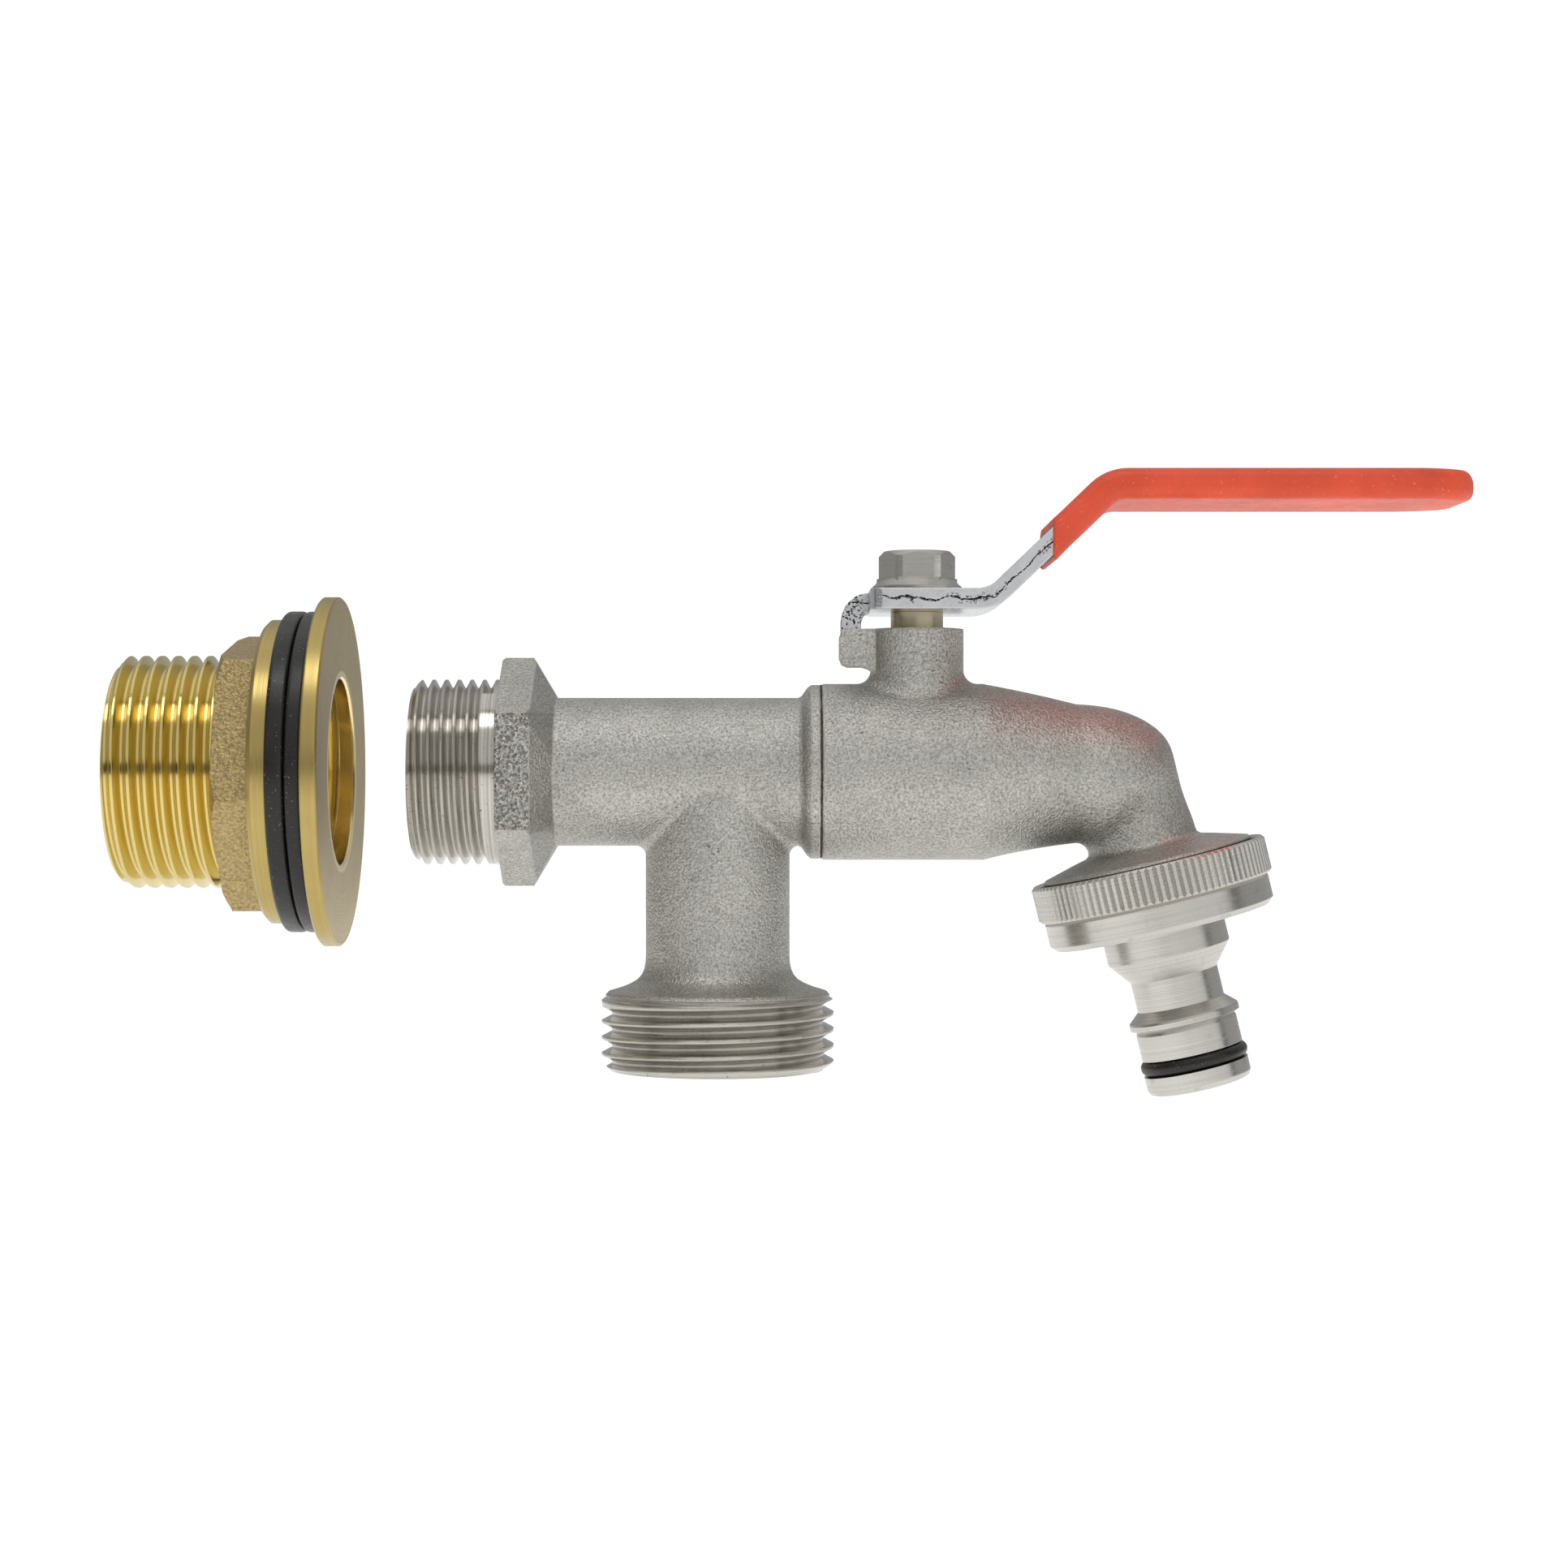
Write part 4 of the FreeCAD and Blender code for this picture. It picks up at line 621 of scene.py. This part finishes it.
def zinc_plated_steel(name, lever):
    """Pressed steel, bright zinc plated: mirror-like faces and a sheared edge torn dark at its middle.

    The tab at the lever's foot is torn across the whole of its edge, where it was bent.
    """
    material, tree, shader, where = begin(name, Metallic=1.0)
    axes = add(tree, "SeparateXYZ", {0: where}).outputs
    drift = add(tree, "TexNoise", {"Vector": where, "Scale": 1 / (3 * MM), "Detail": 4.0, "Roughness": 0.6})
    fine = add(tree, "TexNoise", {"Vector": where, "Scale": 1 / (0.3 * MM), "Detail": 3.0,
                                  "Roughness": 0.7})
    # distance from the bar's middle line, wandering by a few tenths of a millimetre
    low = NUT_BOX[0][2] - lever.bar / 2
    high = LEVER_BOX[1][2] - lever.bar / 2
    middle = add(tree, "MapRange", {0: axes[0], 1: STEM_X + lever.bend_near, 2: STEM_X + lever.bend_far,
                                    3: low, 4: high})
    off = add(tree, "Math", {0: axes[2], 1: middle}, operation="SUBTRACT")
    wander = add(tree, "MapRange", {0: drift, 1: 0.3, 2: 0.7, 3: -0.45 * MM, 4: 0.45 * MM})
    off = add(tree, "Math", {0: off, 1: wander}, operation="ADD")
    off = add(tree, "Math", {0: off}, operation="ABSOLUTE")
    side = add(tree, "SeparateXYZ", {0: add(tree, "NewGeometry").outputs["True Normal"]}).outputs[1]
    side = add(tree, "Math", {0: side}, operation="ABSOLUTE")
    side = add(tree, "MapRange", {0: side, 1: 0.8, 2: 0.95})
    tear = add(tree, "MapRange", {0: off, 1: 0.2 * MM, 2: 0.1 * MM})
    blotch = add(tree, "MapRange", {0: off, 1: 0.85 * MM, 2: 0.3 * MM})
    patchy = add(tree, "TexNoise", {"Vector": where, "Scale": 1 / (5 * MM)})
    patchy = add(tree, "MapRange", {0: patchy, 1: 0.47, 2: 0.56})
    blotch = add(tree, "Math", {0: blotch, 1: patchy}, operation="MULTIPLY")
    tab = add(tree, "MapRange", {0: axes[0], 1: STEM_X - 7.2 * MM, 2: STEM_X - 8.2 * MM})
    blotch = add(tree, "Math", {0: blotch, 1: tab}, operation="MAXIMUM")
    blotch = add(tree, "Math", {0: blotch, 1: specks(tree, where, 0.4 * MM, 0.42)}, operation="MULTIPLY")
    broken = add(tree, "MapRange", {0: fine, 1: 0.4, 2: 0.46})
    tear = add(tree, "Math", {0: tear, 1: broken}, operation="MULTIPLY")
    scale = add(tree, "Math", {0: tear, 1: blotch}, operation="MAXIMUM")
    scale = add(tree, "Math", {0: scale, 1: side}, operation="MULTIPLY")
    bright = add(tree, "MapRange", {0: drift, 1: 0.3, 2: 0.7, 3: 0.9, 4: 1.0})
    zinc = add(tree, "Mix", {0: 1.0, 6: lever.zinc, 7: bright}, data_type="RGBA", blend_type="MULTIPLY")
    colour = add(tree, "Mix", {0: scale, 6: zinc, 7: lever.scale}, data_type="RGBA")
    rough = add(tree, "MapRange", {0: drift, 1: 0.3, 2: 0.7, 3: 0.2, 4: 0.32})
    rough = add(tree, "Mix", {0: scale, 2: rough, 3: 0.7})
    height = add(tree, "Math", {0: fine, 1: 0.01}, operation="MULTIPLY")
    height = add(tree, "Math", {0: drift, 1: 0.03, 2: height}, operation="MULTIPLY_ADD")
    height = add(tree, "Math", {0: scale, 1: -0.05, 2: height}, operation="MULTIPLY_ADD")
    surface(tree, shader, height, 0.3 * MM, Base_Color=colour, Roughness=rough)
    return material


def dipped_vinyl(name, lever):
    """Flexible PVC dipped over warm steel: a semi-gloss skin with a faint orange peel."""
    material, tree, shader, where = begin(name, IOR=1.48)
    peel = add(tree, "TexNoise", {"Vector": where, "Scale": 1 / (1.3 * MM), "Detail": 2.0})
    flow = add(tree, "TexNoise", {"Vector": where, "Scale": 1 / (9 * MM), "Detail": 3.0})
    dust = specks(tree, where, 0.4 * MM, 0.015)
    tone = add(tree, "MapRange", {0: flow, 1: 0.35, 2: 0.65})
    colour = add(tree, "Mix", {0: tone, 6: lever.vinyl_deep, 7: lever.vinyl}, data_type="RGBA")
    colour = add(tree, "Mix", {0: dust, 6: colour, 7: VINYL_DUST}, data_type="RGBA")
    rough = add(tree, "MapRange", {0: peel, 1: 0.3, 2: 0.7, 3: 0.4, 4: 0.52})
    height = add(tree, "Math", {0: peel, 1: 0.012}, operation="MULTIPLY")
    height = add(tree, "Math", {0: flow, 1: 0.05, 2: height}, operation="MULTIPLY_ADD")
    surface(tree, shader, height, 0.2 * MM, Base_Color=colour, Roughness=rough)
    return material


def turned_metal(name, colour, feed, centre, tilt, gloss, relief):
    """Metal turned on a lathe: fine rings that draw the light out across them, sooty in places.

    gloss is the least roughness and relief the height of the rings in millimetres.
    """
    material, tree, shader, where = begin(name, Metallic=1.0)
    lines = turning(tree, where, feed, centre, tilt)
    drift = add(tree, "TexNoise", {"Vector": where, "Scale": 1 / (2.5 * MM), "Detail": 3.0})
    tone = add(tree, "MapRange", {0: lines, 1: 0.3, 2: 0.7, 3: 0.86, 4: 1.0})
    metal = add(tree, "Mix", {0: 1.0, 6: colour, 7: tone}, data_type="RGBA", blend_type="MULTIPLY")
    soot = add(tree, "MapRange", {0: drift, 1: 0.62, 2: 0.8, 3: 0.0, 4: 0.35})
    metal = add(tree, "Mix", {0: soot, 6: metal, 7: SOOT}, data_type="RGBA")
    rough = add(tree, "MapRange", {0: lines, 1: 0.3, 2: 0.7, 3: gloss + 0.12, 4: gloss})
    height = add(tree, "Math", {0: lines, 1: relief}, operation="MULTIPLY")
    surface(tree, shader, height, 0.12 * MM, Base_Color=metal, Roughness=rough)
    return material


def worked_brass(name, fitting, grained, thread_side, bore_away):
    """Brass bar and casting: a bright cut thread, a sand-grained hexagon and dull faced rims.

    grained: low and high X of the hexagon, or none; thread_side: X beyond which, away from the tap, the
    thread lies, or none; bore_away: distance from the axis within which the bore is cut.
    """
    material, tree, shader, where = begin(name, Metallic=1.0)
    axes = add(tree, "SeparateXYZ", {0: where}).outputs
    lines = turning(tree, where, 0.22 * MM, (0, 0, 0), math.pi / 2)
    sand = add(tree, "TexNoise", {"Vector": where, "Scale": 1 / (0.45 * MM), "Detail": 2.0,
                                  "Roughness": 0.6})
    drift = add(tree, "TexNoise", {"Vector": where, "Scale": 1 / (6 * MM), "Detail": 3.0})
    away = add(tree, "VectorMath", {0: where, 1: (0, 1, 1)}, operation="MULTIPLY")
    away = add(tree, "VectorMath", {0: away}, operation="LENGTH").outputs["Value"]
    tone = add(tree, "MapRange", {0: lines, 1: 0.3, 2: 0.7, 3: 0.84, 4: 1.0})
    dull = add(tree, "Mix", {0: 1.0, 6: fitting.face, 7: tone}, data_type="RGBA", blend_type="MULTIPLY")
    patina = add(tree, "MapRange", {0: drift, 1: 0.45, 2: 0.75, 3: 0.0, 4: 0.3})
    dull = add(tree, "Mix", {0: patina, 6: dull, 7: PATINA}, data_type="RGBA")
    # the cut thread and the bores are brighter and yellower than the faced rims
    bore = add(tree, "MapRange", {0: away, 1: bore_away + 0.2 * MM, 2: bore_away})
    cut = bore
    if thread_side:
        outer = add(tree, "MapRange", {0: axes[0], 1: thread_side + 0.1 * MM, 2: thread_side - 0.1 * MM})
        cut = add(tree, "Math", {0: bore, 1: outer}, operation="MAXIMUM")
    colour = add(tree, "Mix", {0: cut, 6: dull, 7: fitting.turned}, data_type="RGBA")
    colour = add(tree, "Mix", {0: bore, 6: colour, 7: fitting.bored}, data_type="RGBA")
    rough = add(tree, "MapRange", {0: lines, 1: 0.3, 2: 0.7, 3: 0.36, 4: 0.24})
    rough = add(tree, "Math", {0: cut, 1: -0.14, 2: rough}, operation="MULTIPLY_ADD")
    height = add(tree, "Math", {0: lines, 1: 0.012}, operation="MULTIPLY")
    if grained:
        hexagon = band(tree, axes[0], grained[0], grained[1], 0.1 * MM)
        past_thread = 17 * MM
        outside = add(tree, "MapRange", {0: away, 1: past_thread - 0.1 * MM, 2: past_thread + 0.1 * MM})
        hexagon = add(tree, "Math", {0: hexagon, 1: outside}, operation="MULTIPLY")
        speckled = add(tree, "MapRange", {0: sand, 1: 0.35, 2: 0.65, 3: 0.62, 4: 1.1})
        grainy = add(tree, "Mix", {0: 1.0, 6: fitting.cast, 7: speckled}, data_type="RGBA",
                     blend_type="MULTIPLY")
        colour = add(tree, "Mix", {0: hexagon, 6: colour, 7: grainy}, data_type="RGBA")
        rough = add(tree, "Mix", {0: hexagon, 2: rough, 3: 0.42})
        sandy = add(tree, "Math", {0: sand, 1: 0.22}, operation="MULTIPLY")
        height = add(tree, "Mix", {0: hexagon, 2: height, 3: sandy})
    surface(tree, shader, height, 0.2 * MM, Base_Color=colour, Roughness=rough)
    return material


def moulded_rubber(name, colour):
    """Moulded NBR rubber: near black, soft sheen, with pale dust and release powder on it."""
    material, tree, shader, where = begin(name, IOR=1.47)
    dust = specks(tree, where, 0.3 * MM, 0.02)
    bloom = add(tree, "TexNoise", {"Vector": where, "Scale": 1 / (4 * MM), "Detail": 4.0, "Roughness": 0.6})
    haze = add(tree, "MapRange", {0: bloom, 1: 0.45, 2: 0.8, 3: 0.0, 4: 0.06})
    skin = add(tree, "Mix", {0: haze, 6: colour, 7: RUBBER_BLOOM}, data_type="RGBA")
    skin = add(tree, "Mix", {0: dust, 6: skin, 7: RUBBER_DUST}, data_type="RGBA")
    rough = add(tree, "MapRange", {0: bloom, 1: 0.3, 2: 0.7, 3: 0.26, 4: 0.42})
    height = add(tree, "Math", {0: bloom, 1: 0.03}, operation="MULTIPLY")
    height = add(tree, "Math", {0: dust, 1: 0.02, 2: height}, operation="MULTIPLY_ADD")
    surface(tree, shader, height, 0.15 * MM, Base_Color=skin, Roughness=rough)
    return material


def sintered_ptfe(name):
    """Sintered and skived PTFE: waxy white, slightly see-through, with tool lines."""
    material, tree, shader, where = begin(name, IOR=1.36, Subsurface_Weight=0.15, Subsurface_Scale=0.001)
    lines = turning(tree, where, 0.3 * MM, (0, 0, 0), math.pi / 2)
    tone = add(tree, "MapRange", {0: lines, 1: 0.3, 2: 0.7})
    colour = add(tree, "Mix", {0: tone, 6: PTFE_GROOVE, 7: PTFE}, data_type="RGBA")
    rough = add(tree, "MapRange", {0: lines, 3: 0.35, 4: 0.5})
    height = add(tree, "Math", {0: lines, 1: 0.008}, operation="MULTIPLY")
    surface(tree, shader, height, 0.1 * MM, Base_Color=colour, Roughness=rough)
    return material


def dried_sealant(name, casting):
    """Thread sealant dried in the joint: dark brown, crumbly and matt."""
    material, tree, shader, where = begin(name, IOR=1.5)
    crumb = add(tree, "TexNoise", {"Vector": where, "Scale": 1 / (0.35 * MM), "Detail": 3.0,
                                   "Roughness": 0.7})
    tone = add(tree, "MapRange", {0: crumb, 1: 0.35, 2: 0.65})
    colour = add(tree, "Mix", {0: tone, 6: SEALANT_CORE, 7: casting.stain}, data_type="RGBA")
    rough = add(tree, "MapRange", {0: crumb, 3: 0.6, 4: 0.85})
    height = add(tree, "Math", {0: crumb, 1: 0.06}, operation="MULTIPLY")
    surface(tree, shader, height, 0.05 * MM, Base_Color=colour, Roughness=rough)
    return material


def dress(material, *names):
    """Give CAD nodes a material."""
    for name in names:
        NODES[name].material_slots[0].material = material


def place(piece, material, body, slot):
    """Give a new piece its material and its body; the slot is not used."""
    piece.data.materials.append(material)
    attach(piece, body)


# ------------------------------------------------------------------ operators
class HOSETAP_OT_castings(bpy.types.Operator):
    """Finish the branched body and the spout, and lay the dried sealant in their joint"""
    bl_idname = "hosetap.castings"
    bl_label = "Castings"

    def execute(self, context):
        casting = context.scene.tap_casting
        joint = SPOUT_BOX[0][0]
        cut = [
            (0, INLET_CUT, math.pi / 2, (0, 0, 0)),
            (2, BRANCH_CUT, 0.0, BRANCH_AXIS),
        ]
        dress(blasted_nickel("blasted_nickel_body", casting, cut, INLET_HEXAGON, joint), "tee_body")
        dress(blasted_nickel("blasted_nickel_spout", casting, [], None, joint), "spout_body")
        bead = bead_surface("joint_sealant", joint, casting.bead_away, casting.bead)
        place(bead, dried_sealant("dried_sealant", casting), "tap", "black_rubber")
        return {"FINISHED"}


class HOSETAP_OT_lever(bpy.types.Operator):
    """Finish the lever, its nut and its stem, and dip the grip"""
    bl_idname = "hosetap.lever"
    bl_label = "Lever"

    def execute(self, context):
        lever = context.scene.tap_lever
        dress(zinc_plated_steel("bright_zinc_on_pressed_steel", lever), "lever")
        nut = turned_metal("nickel_on_cold_headed_nut", lever.nickel, feed=0.4 * MM, centre=STEM_AXIS,
                           tilt=0.0, gloss=0.3, relief=0.006)
        stem = turned_metal("nickel_washed_turned_brass", lever.stem, feed=0.6 * MM, centre=STEM_AXIS,
                            tilt=0.0, gloss=0.26, relief=0.003)
        dress(nut, "lever_nut")
        dress(stem, "stem")
        grip = grip_surface("vinyl_grip", lever)
        place(grip, dipped_vinyl("dipped_vinyl", lever), "valve", "red_vinyl")
        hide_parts("lever_sleeve")
        return {"FINISHED"}


class HOSETAP_OT_valve(bpy.types.Operator):
    """Finish the ball, its seats and the seals inside the housing"""
    bl_idname = "hosetap.valve"
    bl_label = "Valve inside"

    def execute(self, context):
        fitting = context.scene.tap_fitting
        chrome = turned_metal("polished_chrome_on_brass", CHROME, feed=0.5 * MM, centre=STEM_AXIS,
                              tilt=math.pi / 2, gloss=0.05, relief=0.002)
        dress(chrome, "ball")
        dress(sintered_ptfe("sintered_ptfe"), "seat_inlet", "seat_outlet", "body_seal", "thrust_washer")
        dress(moulded_rubber("moulded_seal_rubber", fitting.rubber),
              "stem_o_ring_lower", "stem_o_ring_upper", "adapter_washer", "plug_o_ring")
        return {"FINISHED"}


class HOSETAP_OT_adapter(bpy.types.Operator):
    """Finish the click-hose adapter"""
    bl_idname = "hosetap.adapter"
    bl_label = "Hose adapter"

    def execute(self, context):
        adapter = context.scene.tap_adapter
        satin = turned_metal("satin_nickel_on_turned_brass", adapter.nickel, feed=adapter.feed,
                             centre=OUTLET, tilt=OUTLET_TILT, gloss=0.22, relief=0.012)
        dress(satin, "hose_adapter")
        return {"FINISHED"}


class HOSETAP_OT_tank_fitting(bpy.types.Operator):
    """Finish the brass tank fitting"""
    bl_idname = "hosetap.tank_fitting"
    bl_label = "Tank fitting"

    def execute(self, context):
        fitting = context.scene.tap_fitting
        flange = worked_brass("worked_brass_flange", fitting, grained=None, thread_side=None,
                              bore_away=FLANGE_BORE)
        connector = worked_brass("worked_brass_connector", fitting, grained=CONNECTOR_HEXAGON,
                                 thread_side=CONNECTOR_CUT, bore_away=CONNECTOR_BORE)
        dress(flange, "tank_flange")
        dress(connector, "tank_connector")
        return {"FINISHED"}


class HOSETAP_OT_gaskets(bpy.types.Operator):
    """Mould the two flat rubber gaskets"""
    bl_idname = "hosetap.gaskets"
    bl_label = "Gaskets"

    def execute(self, context):
        fitting = context.scene.tap_fitting
        rubber = moulded_rubber("moulded_gasket_rubber", fitting.rubber)
        for k, node in enumerate(("outer_gasket", "inner_gasket")):
            piece = gasket_surface("moulded_" + node, node, fitting.gasket_corner, 1.7 * k)
            place(piece, rubber, node, "black_rubber")
            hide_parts(node)
        return {"FINISHED"}


class HOSETAP_OT_stage(bpy.types.Operator):
    """Set the floor, the light and the camera"""
    bl_idname = "hosetap.stage"
    bl_label = "Stage"

    def execute(self, context):
        stage = context.scene.tap_stage
        self.floor(stage)
        self.world(context.scene, stage)
        light = bpy.data.lights.new("top_softbox", "AREA")
        light.shape = "RECTANGLE"
        light.size, light.size_y = stage.top_size
        light.energy = stage.top_power
        lamp = bpy.data.objects.new("top_softbox", light)
        lamp.location = stage.top_place
        lamp.rotation_euler = (stage.top_lean, 0, 0)
        context.scene.collection.objects.link(lamp)
        camera = bpy.data.cameras.new("camera")
        camera.lens = stage.lens
        camera.sensor_width = 36
        camera.clip_start = 0.01
        viewer = bpy.data.objects.new("camera", camera)
        viewer.location = stage.camera_place
        viewer.rotation_euler = (math.pi / 2, 0, 0)
        context.scene.collection.objects.link(viewer)
        context.scene.camera = viewer
        context.scene.view_settings.view_transform = "Standard"
        return {"FINISHED"}

    def floor(self, stage):
        """A plain pale sheet under the object."""
        side, z = 3.0, stage.floor_height
        mesh = bpy.data.meshes.new("pale_floor")
        corners = [(-side, -side, z), (side, -side, z), (side, side, z), (-side, side, z)]
        mesh.from_pydata(corners, [], [(0, 1, 2, 3)])
        material, tree, shader, where = begin("pale_paper", Roughness=0.9, Emission_Color=(1, 1, 1, 1))
        seen = add(tree, "LightPath").outputs["Is Camera Ray"]
        glow = add(tree, "MapRange", {0: seen, 3: stage.bounce, 4: stage.floor_share * stage.white})
        tree.links.new(glow.outputs[0], shader.inputs["Emission Strength"])
        fibre = add(tree, "TexNoise", {"Vector": where, "Scale": 1 / (2 * MM), "Detail": 3.0})
        paper = add(tree, "Mix", {0: fibre, 6: PAPER_SHADE, 7: PAPER}, data_type="RGBA")
        tree.links.new(paper.outputs[2], shader.inputs["Base Color"])
        mesh.materials.append(material)
        sheet = bpy.data.objects.new("pale_floor", mesh)
        bpy.context.scene.collection.objects.link(sheet)

    def world(self, scene, stage):
        """White to the eye; the metal sees softboxes round the front, a dark ring and a dim backdrop."""
        world = bpy.data.worlds.new("studio")
        world.use_nodes = True
        scene.world = world
        tree = world.node_tree
        tree.nodes.clear()
        look = add(tree, "SeparateXYZ", {0: add(tree, "TexCoord").outputs["Generated"]}).outputs
        front = add(tree, "Math", {0: look[1], 1: -1.0}, operation="MULTIPLY")
        boxes = add(tree, "MapRange", {0: front, 1: 0.30, 2: 0.36, 3: 0.0, 4: stage.softbox})
        overhead = stage.backdrop_top * stage.backdrop
        behind = add(tree, "MapRange", {0: look[2], 1: 0.5, 2: 0.9, 3: stage.backdrop, 4: overhead})
        white = add(tree, "MapRange", {0: front, 1: 0.16, 2: 0.10})
        white = add(tree, "Math", {0: white, 1: behind}, operation="MULTIPLY")
        slit = add(tree, "Math", {0: look[2]}, operation="ABSOLUTE")
        slit = add(tree, "MapRange", {0: slit, 1: 0.13, 2: 0.17})
        right = add(tree, "MapRange", {0: look[0], 1: -0.1, 2: -0.02})
        slit = add(tree, "Math", {0: slit, 1: right}, operation="MAXIMUM")
        fall = add(tree, "MapRange", {0: look[0], 1: -1.0, 2: 1.0, 3: 0.75, 4: 1.05})
        boxes = add(tree, "Math", {0: boxes, 1: slit}, operation="MULTIPLY")
        boxes = add(tree, "Math", {0: boxes, 1: fall}, operation="MULTIPLY")
        light = add(tree, "Math", {0: boxes, 1: white}, operation="ADD")
        light = add(tree, "Math", {0: light, 1: 0.04}, operation="MAXIMUM")
        seen = add(tree, "LightPath").outputs["Is Camera Ray"]
        light = add(tree, "Mix", {0: seen, 2: light, 3: stage.white})
        shine = add(tree, "Background", {"Color": (1, 1, 1, 1), "Strength": light})
        add(tree, "OutputWorld", {"Surface": shine})


class HOSETAP_PT_panel(bpy.types.Panel):
    """Runs each finishing step and shows the settings that it uses"""
    bl_idname = "HOSETAP_PT_panel"
    bl_label = "Hose tap"
    bl_space_type = "VIEW_3D"
    bl_region_type = "UI"
    bl_category = "Hose tap"

    def draw(self, context):
        for kind in OPERATORS:
            self.layout.operator(kind.bl_idname)
        for name in GROUPS:
            box = self.layout.box()
            group = getattr(context.scene, name)
            for key in group.bl_rna.properties.keys():
                if key not in ("rna_type", "name"):
                    box.prop(group, key)


GROUPS = {
    "tap_casting": CastingSettings,
    "tap_lever": LeverSettings,
    "tap_adapter": AdapterSettings,
    "tap_fitting": FittingSettings,
    "tap_stage": StageSettings,
}
OPERATORS = (
    HOSETAP_OT_castings, HOSETAP_OT_lever, HOSETAP_OT_valve, HOSETAP_OT_adapter,
    HOSETAP_OT_tank_fitting, HOSETAP_OT_gaskets, HOSETAP_OT_stage,
)


def register():
    for kind in (*GROUPS.values(), *OPERATORS, HOSETAP_PT_panel):
        bpy.utils.register_class(kind)
    for name, kind in GROUPS.items():
        setattr(bpy.types.Scene, name, bpy.props.PointerProperty(type=kind))


def unregister():
    for name in GROUPS:
        delattr(bpy.types.Scene, name)
    for kind in reversed((*GROUPS.values(), *OPERATORS, HOSETAP_PT_panel)):
        bpy.utils.unregister_class(kind)


def main():
    register()
    bpy.ops.hosetap.castings()
    bpy.ops.hosetap.lever()
    bpy.ops.hosetap.valve()
    bpy.ops.hosetap.adapter()
    bpy.ops.hosetap.tank_fitting()
    bpy.ops.hosetap.gaskets()
    bpy.ops.hosetap.stage()


if __name__ == "__main__":
    main()
